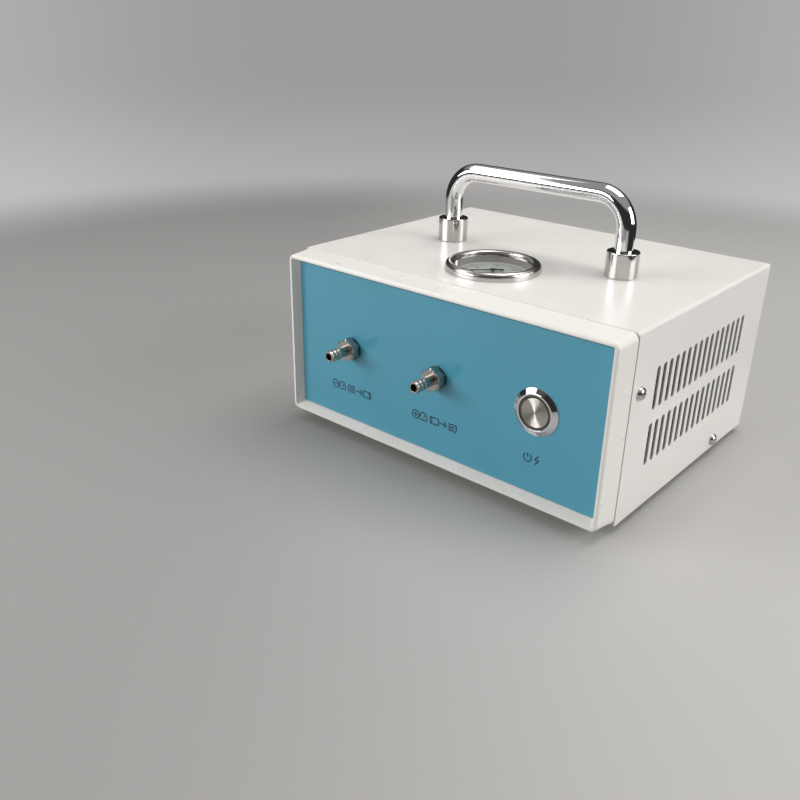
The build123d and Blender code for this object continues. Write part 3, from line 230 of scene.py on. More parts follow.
def floor_paper():
    """Grey paper around the object, with painted shade that makes it darker towards the left.
    Beyond the fade it is clear and shows the wall. Mirrors lose it sooner at the right, which draws
    the dark streak down the handle's right leg."""
    paper = material("floor_paper")
    cloud = paper.noise(900.0, 1.0)
    tone = paper.mix(cloud, shade(floor_grey, 0.95), shade(floor_grey, 1.05))
    across = paper.vector("DOT_PRODUCT", paper.spot(), room_right, "Value")
    # Painted shade: the paper's grey falls to 0.7 of itself towards the left.
    tone = paper.mix(paper.smooth(across, -220.0, 130.0), shade(floor_grey, 0.70), tone)
    matt = {"Base Color": tone, "Roughness": 0.55, "Specular IOR Level": 0.3}
    sheet = paper.node("BsdfPrincipled", {}, matt)
    clear = paper.node("BsdfTransparent", {}, {})
    distance = paper.vector("LENGTH", paper.spot(), output="Value")
    gone = paper.smooth(distance, fade_start, fade_end)
    mirror_ray = paper.node("LightPath", {}, {}, "Is Glossy Ray")
    gone = paper.maths("MAXIMUM", gone, mirror_ray * paper.smooth(across, 190.0, 330.0))
    both = paper.node("MixShader", {}, {0: gone, 1: sheet, 2: clear})
    paper.node("OutputMaterial", {}, {"Surface": both})
    return paper.owner


ground = bpy.data.meshes.new("floor")
corners = [(x * floor_reach, y * floor_reach, 0) for x, y in ((-1, -1), (1, -1), (1, 1), (-1, 1))]
ground.from_pydata(corners, [], [(0, 1, 2, 3)])
ground.materials.append(floor_paper())
floor = bpy.data.objects.new("floor", ground)
scene.collection.objects.link(floor)


def studio_wall():
    """Greys over the height of each direction, from -1 straight down to 1 straight up, one for
    each kind of ray. The camera's also grows lighter to both sides."""
    world = bpy.data.worlds.new("studio")
    sky = Shader(world)
    direction = sky.node("TexCoord", {}, {}, "Generated")
    height = sky.node("SeparateXYZ", {}, {"Vector": direction}, "Z")
    foot = sky.smooth(height, -0.20, -0.06, 0.11, 0.0)
    across = sky.vector("DOT_PRODUCT", direction, room_right, "Value")
    sides = sky.smooth(across * across, 0.0, 0.18, 0.0, 0.09)
    seen = sky.mix(foot + sides + 0.335, (0, 0, 0), (1.0, 0.98, 0.97))
    lit = sky.mix(sky.smooth(height, -0.1, 0.55, 0.42, 0.2), (0, 0, 0), (1.0, 0.99, 0.98))
    mirrored = sky.mix(sky.smooth(height, 0.42, 0.62, 0.03, 0.32), (0, 0, 0), (1.0, 0.99, 0.98))
    camera_ray = sky.node("LightPath", {}, {}, "Is Camera Ray")
    mirror_ray = sky.node("LightPath", {}, {}, "Is Glossy Ray")
    tone = sky.mix(camera_ray, sky.mix(mirror_ray, lit, mirrored), seen)
    light = sky.node("Background", {}, {"Color": tone, "Strength": 1.0})
    sky.node("OutputWorld", {}, {"Surface": light})
    return world


scene.world = studio_wall()
print("the paper fades into the wall from", fade_start, "to", fade_end, "mm")

# %% [markdown]
# Large lamps light the object, large so that their shadows are soft. A picture of a real studio
# wrapped round the scene would light it too, but lamps are easier to reason about, because each
# has one job. Most light comes from overhead, a little behind the front, which leaves the floor
# before the case in shade. A low one at the front left lights the panel, and one at the right the
# vents. The fourth is a long strip that climbs at the left, because the rod of the handle mirrors
# it as its bright band.

# %% Lamps
middle = Vector((0, 0, 70 * mm))


def softbox(name, place, width, depth, power, along=(0, 1, 0), tint=(1.0, 1.0, 1.0)):
    """A rectangular lamp that looks at the middle of the object. Its width lies as near to the
    direction along as it can, and its power is in watts."""
    lamp = bpy.data.lights.new(name, "AREA")
    lamp.shape = "RECTANGLE"
    lamp.size = width
    lamp.size_y = depth
    lamp.energy = power
    lamp.color = tint
    holder = bpy.data.objects.new(name, lamp)
    place = Vector(place)
    back = (place - middle).normalized()
    side = Vector(along)
    side = (side - back * side.dot(back)).normalized()
    turn = Matrix((side, back.cross(side), back)).transposed().to_4x4()
    holder.matrix_world = Matrix.Translation(place) @ turn
    holder.visible_camera = False
    scene.collection.objects.link(holder)


softbox("overhead", (0.15, 0.28, 1.35), 1.0, 0.8, 11.0, tint=(1.0, 0.985, 0.97))
softbox("front_left", (-0.85, -1.25, 0.50), 1.2, 0.5, 13.5, along=(1, -1, 0))
softbox("upper_left", (-0.78, -0.48, 0.98), 1.6, 0.35, 3.2, along=(0, 0.87, 0.48))
softbox("right", (1.25, 0.40, 0.60), 0.9, 0.8, 11.0)

# %% [markdown]
# The case is folded steel under cream powder coat. Baked powder flows into a skin like orange
# peel, about one millimetre from crest to crest, and it is never quite even in tone. The front
# frame is moulded plastic of nearly the same colour: smoother, a little warmer, with a faint drift
# of tone where the plastic flowed. The peel could be real relief in the mesh, but at hundredths of
# a millimetre it never shows in the outline, so bump is enough.

# %% Cream coatings
cream = (0.80, 0.785, 0.745)


def case_paint():
    paint = material("case_paint")
    peel = paint.noise(1.1, 1.0) + 0.4 * paint.noise(0.35, 1.0)
    tone = paint.mix(paint.noise(70.0), shade(cream, 0.97), shade(cream, 1.02))
    worn = paint.smooth(paint.noise(14.0, 4.0), 0.45, 0.75, 0.30, 0.38)
    sockets = {"Base Color": tone, "Roughness": worn, "Normal": paint.bump(peel, 0.012)}
    return paint.principled(sockets)


def frame_plastic():
    plastic = material("frame_plastic")
    tone = plastic.mix(plastic.noise(45.0, 1.0), shade(cream, 1.0), (0.83, 0.81, 0.765))
    grain = plastic.noise(0.5, 2.0)
    gloss = plastic.smooth(plastic.noise(20.0), 0.3, 0.7, 0.26, 0.34)
    sockets = {"Base Color": tone, "Roughness": gloss, "Normal": plastic.bump(grain, 0.004)}
    return plastic.principled(sockets)


finishes = {"case_paint": case_paint(), "frame_plastic": frame_plastic()}
print("coatings:", list(finishes))

# %% [markdown]
# The panel carries a printed film under gloss varnish. One glossy finish alone would look like
# painted plastic. A coat layer over a duller base gives two reflections at once, a sharp one on
# the varnish and a soft one below, as on the real thing. The signs are printed on it in a dark,
# half matt ink.

# %% Panel film
teal = (0.056, 0.300, 0.425)


def panel_film():
    film = material("panel_film")
    tone = film.mix(film.noise(60.0, 1.0), shade(teal, 0.96), shade(teal, 1.05))
    speck = film.smooth(film.noise(0.6, 0.0), 0.72, 0.8, 0.0, 0.25)
    tone = film.mix(speck, tone, shade(teal, 1.25))
    gloss = film.smooth(film.noise(30.0), 0.3, 0.7, 0.36, 0.44)
    sockets = {"Base Color": tone, "Roughness": gloss, "Coat Weight": 0.8, "Coat Roughness": 0.04}
    sockets["Normal"] = film.bump(film.noise(9.0, 1.0), 0.01)
    return film.principled(sockets)


def panel_ink():
    ink = material("panel_ink")
    patch = ink.noise(1.2, 3.0)
    tone = ink.mix(patch, (0.004, 0.016, 0.036), (0.008, 0.028, 0.05))
    return ink.principled({"Base Color": tone, "Roughness": ink.smooth(patch, 0.2, 0.8, 0.38, 0.5)})


finishes["panel_blue"] = panel_film()
sign_ink = panel_ink()
print("panel:", finishes["panel_blue"].name, "and", sign_ink.name)

# %% [markdown]
# Chrome hides nothing: its colour is what it mirrors. Left perfect, it looks drawn. What makes it
# look handled are faint smears that dull it in patches and hair-fine scratches, both made of
# noise, which never repeats as a tiled picture would. Nickel is warmer and softer, and zinc shows
# the crystals of its bath, which are the cells of a Voronoi pattern.

# %% Plated metals
chrome_grey = (0.79, 0.79, 0.80)
nickel_grey = (0.44, 0.425, 0.385)


def chrome_plate():
    metal = material("chrome_plate")
    smear = metal.smooth(metal.noise(16.0, 3.0), 0.45, 0.75, 0.035, 0.10)
    hair = metal.noise(0.5, 2.0, metal.spot(stretch=(14, 1, 1)))
    tone = metal.mix(smear * 6.0, chrome_grey, shade(chrome_grey, 0.94))
    sockets = {"Base Color": tone, "Metallic": 1.0, "Roughness": smear}
    sockets["Normal"] = metal.bump(hair, 0.0006)
    return metal.principled(sockets)


def nickel_plate():
    metal = material("nickel_plate")
    tarnish = metal.noise(3.5, 4.0)
    tone = metal.mix(tarnish, shade(nickel_grey, 0.85), shade(nickel_grey, 1.12))
    dull = metal.smooth(tarnish, 0.35, 0.7, 0.22, 0.34)
    sockets = {"Base Color": tone, "Metallic": 1.0, "Roughness": dull}
    sockets["Normal"] = metal.bump(metal.noise(0.3, 2.0), 0.003)
    return metal.principled(sockets)


def plated_metal(name, tone, grain, low, high):
    """A plated or machined metal: crystals of one size, and a roughness from low to high."""
    metal = material(name)
    crystal = metal.node("TexVoronoi", {}, {"Vector": metal.spot(), "Scale": 1 / grain}, "Color")
    patch = metal.noise(6 * grain, 3.0)
    base = metal.mix(patch, shade(tone, 0.88), shade(tone, 1.08))
    base = metal.mix(0.12, base, crystal)
    dull = metal.smooth(patch, 0.3, 0.7, low, high)
    sockets = {"Base Color": base, "Metallic": 1.0, "Roughness": dull}
    sockets["Normal"] = metal.bump(metal.noise(grain, 2.0), 0.004)
    return metal.principled(sockets)


plain_metals = {
    "plated_steel": ((0.62, 0.62, 0.62), 0.8, 0.14, 0.24),
    "zinc_steel": ((0.52, 0.54, 0.56), 1.6, 0.28, 0.42),
    "brass_metal": ((0.70, 0.52, 0.24), 0.7, 0.20, 0.34),
    "cast_alloy": ((0.60, 0.61, 0.62), 0.9, 0.38, 0.55),
}
for name, (tone, grain, low, high) in plain_metals.items():
    finishes[name] = plated_metal(name, tone, grain, low, high)
finishes["chrome_plate"] = chrome_plate()
finishes["nickel_plate"] = nickel_plate()
print("metals:", list(plain_metals), "and two polished ones")

# %% [markdown]
# The button's cap is faced on a lathe, so its fine rings lie about its centre. Each ring spreads
# the light across itself, and together they draw the bright bow tie through the middle. An
# anisotropic finish would draw it too, but it needs a direction at every point of the mesh. So the
# normal itself leans outwards or inwards by a random amount that depends on the distance from the
# axis. The rings are finer than a pixel, so none is drawn by itself.

# %% Turned cap
cap_low, cap_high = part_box("button_cap")
cap_centre = (cap_low + cap_high) / 2
ring_fineness, ring_slope = 1000.0, 1.5


def brushed_cap():
    metal = material("brushed_cap")
    place = metal.spot(centre=tuple(cap_centre), stretch=(1, 1e6, 1))
    distance = metal.vector("LENGTH", place, output="Value")
    bands = {"W": distance, "Scale": 1.6, "Detail": 4.0}
    rings = metal.node("TexNoise", {"noise_dimensions": "1D"}, bands)
    tone = metal.mix(rings, (0.46, 0.43, 0.385), (0.62, 0.59, 0.54))
    fine = {"W": distance * ring_fineness}
    lean = metal.node("TexWhiteNoise", {"noise_dimensions": "1D"}, fine) - 0.5
    outwards = metal.vector("NORMALIZE", place)
    amount = {0: outwards, "Scale": lean * ring_slope}
    push = metal.node("VectorMath", {"operation": "SCALE"}, amount, "Vector")
    face = metal.node("NewGeometry", {}, {}, "Normal")
    normal = metal.vector("NORMALIZE", metal.vector("ADD", face, push))
    dull = metal.smooth(rings, 0.3, 0.7, 0.16, 0.24)
    sockets = {"Base Color": tone, "Metallic": 1.0, "Roughness": dull, "Normal": normal}
    return metal.principled(sockets)


finishes["brushed_cap"] = brushed_cap()
print("the cap's normals lean by up to", ring_slope / 2, "of their own length")

# %% [markdown]
# Rubber, moulded plastic and silicone differ in sheen more than in colour: rubber is chalky,
# plastic has a spark-eroded grain, and silicone lets light in. One function makes them all from a
# tone, a grain and a range of roughness, so that they are easy to compare. The lens is plain
# glass. Bending the light through so thin a sheet would shift nothing that can be seen, so it lets
# light straight through and mirrors only at a slant.

# %% Rubber, plastic and glass
def dull_skin(name, tone, grain, depth, low, high, extra=()):
    """No metal: soft patches of tone, a fine grain, and a roughness from low to high."""
    skin = material(name)
    patch = skin.noise(12 * grain, 3.0)
    sockets = {"Base Color": skin.mix(patch, shade(tone, 0.86), shade(tone, 1.14))}
    sockets["Roughness"] = skin.smooth(patch, 0.3, 0.7, low, high)
    sockets["Normal"] = skin.bump(skin.noise(grain, 2.0), depth)
    sockets.update(extra)
    return skin.principled(sockets)


def lens_glass():
    glass = material("lens_glass")
    clear = glass.node("BsdfTransparent", {}, {"Color": colour((0.97, 0.985, 0.98))})
    wiped = glass.smooth(glass.noise(9.0, 3.0), 0.4, 0.8, 0.01, 0.05)
    mirror = {"Base Color": colour((1, 1, 1)), "Metallic": 1.0, "Roughness": wiped}
    gloss = glass.node("BsdfPrincipled", {}, mirror)
    slant = glass.node("Fresnel", {}, {"IOR": 1.5})
    inside = glass.node("NewGeometry", {}, {}, "Backfacing")
    both = glass.node("MixShader", {}, {0: slant * (1 - inside), 1: clear, 2: gloss})
    glass.node("OutputMaterial", {}, {"Surface": both})
    return glass.owner


plain_skins = {
    "black_rubber": ((0.028, 0.028, 0.028), 0.4, 0.02, 0.62, 0.80),
    "valve_rubber": ((0.09, 0.07, 0.06), 0.3, 0.01, 0.50, 0.66),
    "black_plastic": ((0.030, 0.030, 0.033), 0.25, 0.012, 0.34, 0.48),
    "needle_black": ((0.025, 0.025, 0.025), 0.4, 0.004, 0.34, 0.46),
    "lead_red": ((0.42, 0.035, 0.025), 0.5, 0.006, 0.26, 0.38),
}
for name, (tone, grain, depth, low, high) in plain_skins.items():
    finishes[name] = dull_skin(name, tone, grain, depth, low, high)
milky = {"Subsurface Weight": 0.4, "Subsurface Scale": 2 * mm}
finishes["silicone_hose"] = dull_skin(
    "silicone_hose", (0.72, 0.73, 0.73), 0.8, 0.01, 0.28, 0.40, milky)
glossy = {"Coat Weight": 0.5, "Coat Roughness": 0.1}
finishes["smoked_plastic"] = dull_skin(
    "smoked_plastic", (0.050, 0.040, 0.028), 0.5, 0.004, 0.18, 0.30, glossy)
finishes["lens_glass"] = lens_glass()
print("skins:", list(plain_skins), "and three clear or milky ones")

# %% [markdown]
# The dial is white enamel inside its flat disc, and its raised rim is a warm grey, a painted shade
# for the dim recess under the ring. The mesh could be split in two, but a mask on the distance from
# the axis leaves it whole. The gauge's ring and the handle's collars are plated like the rod but
# less polished, so they blur the room more than it does, and get a finish of their own within the
# same slot.

# %% Dial and ring
gauge_axis = (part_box("gauge_dial")[0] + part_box("gauge_dial")[1]) / 2
enamel_radius = 23.1
satin_grey = (0.56, 0.54, 0.53)


def dial_enamel():
    dial = material("dial_white")
    place = dial.spot(centre=tuple(gauge_axis), stretch=(1, 1, 1e6))
    distance = dial.vector("LENGTH", place, output="Value")
    cloud = dial.noise(5.0, 3.0)
    enamel = dial.mix(cloud, (0.55, 0.56, 0.54), (0.62, 0.63, 0.61))
    # Painted shade: the raised rim is a dark warm grey that stands for the dim recess under the
    # ring.
    rim = dial.mix(cloud, (0.30, 0.265, 0.26), (0.37, 0.33, 0.32))
    tone = dial.mix(dial.smooth(distance, enamel_radius - 0.1, enamel_radius + 0.1), enamel, rim)
    sockets = {"Base Color": tone, "Roughness": dial.smooth(cloud, 0.3, 0.7, 0.42, 0.55)}
    sockets["Normal"] = dial.bump(dial.noise(0.4, 2.0), 0.004)
    return dial.principled(sockets)


def satin_metal(name, relief, low, high):
    """The rod's plating less polished: a relief in millimetres, a roughness from low to high."""
    metal = material(name)
    smear = metal.noise(6.0, 3.0)
    tone = metal.mix(smear, shade(satin_grey, 0.92), shade(satin_grey, 1.08))
    rough = metal.smooth(smear, 0.3, 0.7, low, high)
    sockets = {"Base Color": tone, "Metallic": 1.0, "Roughness": rough}
    sockets["Normal"] = metal.bump(metal.noise(0.35, 2.0), relief)
    return metal.principled(sockets)


finishes["dial_white"] = dial_enamel()
ring_finish = satin_metal("satin_ring", 0.002, 0.19, 0.26)
collar_finish = satin_metal("satin_collar", 0.001, 0.07, 0.12)
print("enamel to a radius of", enamel_radius, "mm")

# %% [markdown]
# Each piece of the frame names the slot that its finish comes from. Sixty materials given by hand
# would be long and easy to get wrong, so one finish is kept for each slot, and a loop hands them
# out. Nothing else about the pieces is touched.

# %% Finishes of the record's slots
for part in frame["record"]["subparts"]:
    mesh = frame["nodes"][part["node"]].data
    mesh.materials.clear()
    mesh.materials.append(finishes[part["material_slot"]])

# %% [markdown]
# New pieces are grids of points worked out as whole arrays. Modifiers or sculpting could shape
# them too, but a formula says what the shape is and keeps it exact. A turned piece is a profile
# carried round an axis, a bent rod is a circle carried along a path, and a printed sign is a flat
# strip carried along its strokes. Every open end closes in its own middle, so that each piece is a
# closed shell.

# %% From grids to pieces
weld = 0.0002 * mm
hold_share = 0.12


def shell(points, wrap_rows=False, wrap_columns=True):
    """Points in rows and columns, and their quads; a wrapped side meets its own start."""
    rows, columns = points.shape[:2]
    row = np.arange(rows - (not wrap_rows))[:, None]
    column = np.arange(columns - (not wrap_columns))[None, :]
    next_row = (row + 1) % rows
    next_column = (column + 1) % columns
    corners = (
        row * columns + column,
        row * columns + next_column,
        next_row * columns + next_column,
        next_row * columns + column,
    )
    return points.reshape(-1, 3), np.stack(corners, axis=-1).reshape(-1, 4)


def capped(points):
    """The same rows with their first and last rings closed in their middles."""
    start = np.broadcast_to(points[0].mean(axis=0), points[0].shape)
    end = np.broadcast_to(points[-1].mean(axis=0), points[-1].shape)
    return np.concatenate((start[None], points, end[None]))


def eased(corners, radius, steps=6, closed=True):
    """A profile with soft corners: each corner gives way to a parabola that starts radius before
    it. A point just outside each curve keeps the flats beside it flat in their shading."""
    corners = np.array(corners, float)
    reach = np.broadcast_to(radius, len(corners))
    share = np.linspace(0, 1, steps + 1)[:, None]
    pieces = []
    for number, corner in enumerate(corners):
        if not closed and number in (0, len(corners) - 1):
            pieces.append(corner[None])
            continue
        before = corners[number - 1] - corner
        after = corners[(number + 1) % len(corners)] - corner
        before /= np.linalg.norm(before)
        after /= np.linalg.norm(after)
        start = corner + before * reach[number]
        end = corner + after * reach[number]
        curve = (1 - share) ** 2 * start + 2 * share * (1 - share) * corner + share**2 * end
        hold = hold_share * reach[number]
        first, last = start + before * hold, end + after * hold
        pieces.append(np.concatenate((first[None], curve, last[None])))
    return np.concatenate(pieces)


def turned(profile, centre, axis, segments=96, shape=None):
    """A profile of (radius, distance) carried round an axis: centre + distance * axis + radius *
    spoke(angle). shape, if given, limits the radius at each angle, which cuts flats on it."""
    axis = np.array(axis, float)
    side = np.cross(axis, (0, 0, 1)) if abs(axis[2]) < 0.5 else np.array((1.0, 0, 0))
    other = np.cross(axis, side)
    angle = np.linspace(0, 2 * np.pi, segments, endpoint=False)
    spoke = np.cos(angle)[:, None] * side + np.sin(angle)[:, None] * other
    profile = np.asarray(profile, float)
    radius = np.repeat(profile[:, :1], segments, axis=1)
    if shape is not None:
        radius = np.minimum(radius, shape(angle)[None, :])
    return np.array(centre) + profile[:, 1, None, None] * axis + radius[..., None] * spoke


def carried(section, path, flat_normal):
    """A flat section carried along a path that stays in one plane: point + u * side + v * normal,
    where side is square to the path's direction and to the plane's normal."""
    direction = np.gradient(path, axis=0)
    direction /= np.linalg.norm(direction, axis=1)[:, None]
    normal = np.array(flat_normal, float)
    side = np.cross(direction, normal)
    return path[:, None] + section[None, :, :1] * side[:, None] + section[None, :, 1:] * normal


def piece(name, shells, slot, body="root", replaces=(), finish=None, crease=34.0):
    """One object from closed shells: doubles merged, faces turned outwards, smooth up to the
    crease angle."""
    starts = np.cumsum([0] + [len(points) for points, faces in shells])
    points = np.concatenate([points for points, faces in shells])
    faces = np.concatenate([faces + start for (_, faces), start in zip(shells, starts)])
    mesh = bpy.data.meshes.new(name)
    mesh.from_pydata(points.tolist(), [], faces.tolist())
    work = bmesh.new()
    work.from_mesh(mesh)
    bmesh.ops.remove_doubles(work, verts=work.verts, dist=weld)
    bmesh.ops.recalc_face_normals(work, faces=work.faces)
    work.to_mesh(mesh)
    work.free()
    return finished(mesh, name, slot, body, replaces, finish, crease)


def finished(mesh, name, slot, body, replaces, finish, crease):
    """The mesh as an object that has its finish, which is its slot's unless one is given, and the
    body that it rides on.
    """
    mesh.shade_smooth()
    mesh.set_sharp_from_angle(angle=radians(crease))
    mesh.materials.append(finish or finishes[slot])
    thing = bpy.data.objects.new(name, mesh)
    scene.collection.objects.link(thing)
    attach(thing, body)
    if replaces:
        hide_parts(*replaces)
    print(f"{name}: {len(mesh.polygons)} faces")
    return thing

# %% [markdown]
# The handle is a chromed rod bent twice. Its path is two straight legs, two quarter turns and a
# straight top, and its thickness and reach are read from the frame. A curve with a round bevel
# would make it too. The grid is chosen because its rings stay square to the path and evenly spaced
# in the bends, where a reflection shows every kink.

# %% Handle
bar_low, bar_high = (np.array(corner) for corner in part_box("handle_bar"))
rod_radius = (bar_high[1] - bar_low[1]) / 2
handle_bend = 20 * mm


def circle(radius, segments=48):
    angle = np.linspace(0, 2 * np.pi, segments, endpoint=False)
    return np.stack((radius * np.cos(angle), radius * np.sin(angle)), axis=1)


def handle_path(steps=28):
    """Left leg, quarter turn, top, quarter turn, right leg, in X and Z at the handle's depth."""
    half = bar_high[0] - rod_radius
    top = bar_high[2] - rod_radius
    turn = np.linspace(0, np.pi / 2, steps)
    bend_x = half - handle_bend * (1 - np.sin(turn))
    bend_z = top - handle_bend * (1 - np.cos(turn))
    leg_z = np.linspace(bar_low[2], bend_z[-1], 6)[:-1]
    x = np.concatenate((np.full(5, -half), -bend_x[::-1], bend_x, np.full(5, half)))
    z = np.concatenate((leg_z, bend_z[::-1], bend_z, leg_z[::-1]))
    y = np.full_like(x, (bar_low[1] + bar_high[1]) / 2)
    return np.stack((x, y, z), axis=1)


rod = carried(circle(rod_radius), handle_path(), (0, 1, 0))
piece("polished_handle", [shell(capped(rod))], "chrome_plate", replaces=["handle_bar"])

# %% [markdown]
# Each leg of the handle stands in a collar that is turned from bar, with a small round at its foot
# and a larger one at its top. A cylinder with a bevel would do, but the profile has its soft
# corners from the start, and one call turns it about the leg.

# %% Collars
collar_low, collar_high = (np.array(corner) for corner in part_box("handle_collars"))
collar_radius = (collar_high[1] - collar_low[1]) / 2
collar_height = collar_high[2] - collar_low[2]
collar_bore = rod_radius + 0.05 * mm
collar_corners = [
    (collar_bore, 0),
    (collar_radius, 0),
    (collar_radius, collar_height),
    (collar_bore, collar_height),
]
collar_profile = eased(collar_corners, (0.1 * mm, 0.5 * mm, 0.7 * mm, 0.2 * mm))
collar_y = (collar_low[1] + collar_high[1]) / 2
collars = []
for side in (-1, 1):
    foot = (side * (collar_high[0] - collar_radius), collar_y, collar_low[2])
    collars.append(shell(turned(collar_profile, foot, (0, 0, 1)), wrap_rows=True))
piece("satin_collars", collars, "chrome_plate", replaces=["handle_collars"], finish=collar_finish)

# %% [markdown]
# The gauge's ring is pressed from thin steel and rolled over the rim of its case: a short wall, a
# full rounded crown and a lip that turns down to the glass. A torus is the quick way, but it is
# too round and draws too thin a band of light. The profile here is a squashed arch: a half circle
# whose height and width are scaled apart and whose shoulders are filled out, so that the band is
# soft and even.

# %% Gauge ring
ring_low, ring_high = (np.array(corner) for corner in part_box("gauge_bezel"))
lens_low, lens_high = (np.array(corner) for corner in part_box("gauge_lens"))
gauge_centre = (ring_low + ring_high) / 2
ring_base = ring_low[2]
ring_outer = (ring_high[0] - ring_low[0]) / 2
ring_inner = 25.5 * mm
ring_height = ring_high[2] - ring_low[2]
ring_wall = 1.8 * mm
flange_radius = 29.05 * mm
lens_top = lens_high[2] - ring_base
lip_clearance, lip_height, crown_foot = 0.06 * mm, 0.45 * mm, 0.5 * mm


def ring_profile(steps=26):
    """Up the wall, over the crown and down the lip, then back under the crown to the wall's foot.
    The crown's height is the sine of an angle to a power below one, which makes it fuller."""
    arch = np.linspace(0, np.pi, steps)
    middle_radius = (ring_outer + ring_inner) / 2
    half_width = (ring_outer - ring_inner) / 2
    crown_r = middle_radius + half_width * np.cos(arch)
    foot = np.where(arch < np.pi / 2, ring_wall, lens_top + crown_foot)
    crown_z = foot + (ring_height - foot) * np.sin(arch) ** 0.8
    crown = np.stack((crown_r, crown_z), axis=1)
    under = eased([
        (ring_inner, lens_top + lip_height),
        (ring_inner, lens_top + lip_clearance),
        (flange_radius, lens_top + lip_clearance),
        (flange_radius, 0),
        (ring_outer, 0),
        (ring_outer, ring_wall - 0.1 * mm),
    ], 0.15 * mm, steps=3, closed=False)
    return np.concatenate((crown, under))


ring_centre = (gauge_centre[0], gauge_centre[1], ring_base)
ring = turned(ring_profile(), ring_centre, (0, 0, 1), segments=160)
piece("satin_gauge_ring", [shell(ring, wrap_rows=True)], "chrome_plate", replaces=["gauge_bezel"],
      finish=ring_finish)

# %% [markdown]
# All print on the object is ink with a thickness of its own. It could be an image on the surface,
# but an image blurs when it is looked at closely. So each stroke is a flat strip a few hundredths
# of a millimetre thick, carried along its line, which stays sharp at any distance.

# %% Printed strokes
stroke_height = 0.04 * mm


def strip(path, width, normal, height=stroke_height):
    """A closed strip of a given width along a path, from the surface up to its height."""
    half = width / 2
    section = np.array(((-half, 0), (half, 0), (half, height), (-half, height)))
    return shell(capped(carried(section, np.asarray(path, float), normal)))


def line(start, end):
    return np.linspace(start, end, 2)


def arc(centre, across, along, radius, start, end, steps=24):
    """Part of a circle in the plane of two directions, between two angles in degrees."""
    angle = np.radians(np.linspace(start, end, steps))[:, None]
    turned_to = np.cos(angle) * np.array(across, float) + np.sin(angle) * np.array(along, float)
    return np.array(centre, float) + radius * turned_to


print("ink stands", stroke_height / mm, "mm high")

# %% [markdown]
# The scale is an arc over three quarters of a turn with a tick for every two units. Every tenth
# unit has a longer tick and every twentieth the longest, because a row of equal ticks can't be
# read at a glance. Its ends are the ends of the pointer's travel. It is worked out by a loop,
# since ticks set by hand would never be quite even.

# %% Dial scale
dial_face = 1.9 * mm
dial_centre = np.array((gauge_centre[0], gauge_centre[1], ring_base - dial_face))
scale_radius = 18.4 * mm
scale_start = 225.0
scale_sweep = -270.0
divisions = 50
tick_sizes = {"long": (3.2, 0.42), "middle": (2.4, 0.28), "short": (1.6, 0.18)}
arc_width = 0.22 * mm
up_z = (0, 0, 1)
across_x, along_y = (1, 0, 0), (0, 1, 0)


def spoke(degrees, radius):
    angle = radians(degrees)
    return dial_centre + radius * np.array((np.cos(angle), np.sin(angle), 0))


scale_end = scale_start + scale_sweep
scale_arc = arc(dial_centre, across_x, along_y, scale_radius, scale_start, scale_end, 120)
strokes = [strip(scale_arc, arc_width, up_z)]
for number in range(divisions + 1):
    angle = scale_start + scale_sweep * number / divisions
    kind = "long" if number % 10 == 0 else "middle" if number % 5 == 0 else "short"
    length, width = tick_sizes[kind]
    tick = line(spoke(angle, scale_radius), spoke(angle, scale_radius + length * mm))
    strokes.append(strip(tick, width * mm, up_z))
piece("dial_scale", strokes, "needle_black")

# %% [markdown]
# The numbers run from 0 to -100, because the gauge shows how far the pressure lies below that of
# the room. They could be drawn as strokes, but Blender's own font is plain enough for a dial. A
# text object keeps its place outside its outline, so each word becomes a mesh first and is put in
# its place after.

# %% Dial numbers
number_size, number_inset = 3.4 * mm, 3.4 * mm
unit_size, unit_rise = 5.2 * mm, 7.0 * mm


def lettering(words, size, places):
    """Words as thin solids: each is made flat, turned into a mesh, then put in its place."""
    joined = bmesh.new()
    for word, place in zip(words, places):
        text = bpy.data.curves.new("word", "FONT")
        text.body = word
        text.size = size
        text.align_x = "CENTER"
        text.align_y = "CENTER"
        text.extrude = stroke_height / 2
        text.resolution_u = 4
        holder = bpy.data.objects.new("word", text)
        scene.collection.objects.link(holder)
        mesh = bpy.data.meshes.new_from_object(holder)
        mesh.transform(place)
        joined.from_mesh(mesh)
        bpy.data.objects.remove(holder)
    bmesh.ops.remove_doubles(joined, verts=joined.verts, dist=weld)
    mesh = bpy.data.meshes.new("lettering")
    joined.to_mesh(mesh)
    joined.free()
    return mesh


numbers = [str(20 * step) if step == 0 else f"-{20 * step}" for step in range(6)]
number_places = []
for step in range(6):
    spot = spoke(scale_start + scale_sweep * step / 5, scale_radius - number_inset)
    number_places.append(Matrix.Translation(Vector(spot) + Vector((0, 0, stroke_height / 2))))
unit_place = Matrix.Translation(Vector(dial_centre) + Vector((0, unit_rise, stroke_height / 2)))
mesh = lettering(numbers, number_size, number_places)
finished(mesh, "dial_numbers", "needle_black", "root", (), None, 30.0)
mesh = lettering(["kPa"], unit_size, [unit_place])
finished(mesh, "dial_unit", "needle_black", "root", (), None, 30.0)

# %% [markdown]
# The panel is printed in dark ink with rows of plain signs. Below the inlet stand a minus and a
# gauge, and in brackets moving air, an arrow that goes in, and a port. The outlet has a plus and
# an arrow that comes out. Below the button are the usual sign for power and a spark. Each could be
# a small drawing of its own, but a list of strokes on a square from -1 to 1 is enough, and one
# function scales and places them all.

# %% Signs
sign_pitch = 6.4 * mm
sign_height = 5.9 * mm
sign_stroke = 0.8 * mm
sign_z = 35.5 * mm
panel_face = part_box("front_panel")[0][1]


def round_stroke(radius, start, end, x=0.0, z=0.0, steps=30):
    """Part of a circle between two angles in degrees."""
    angle = np.radians(np.linspace(start, end, steps))
    return np.stack((x + radius * np.cos(angle), z + radius * np.sin(angle)), axis=1)


def wave(z):
    """A sine a little longer than one wave, at a height."""
    across = np.linspace(-0.85, 0.85, 24)
    return np.stack((across, z + 0.16 * np.sin(2 * np.pi * across / 1.15)), axis=1)


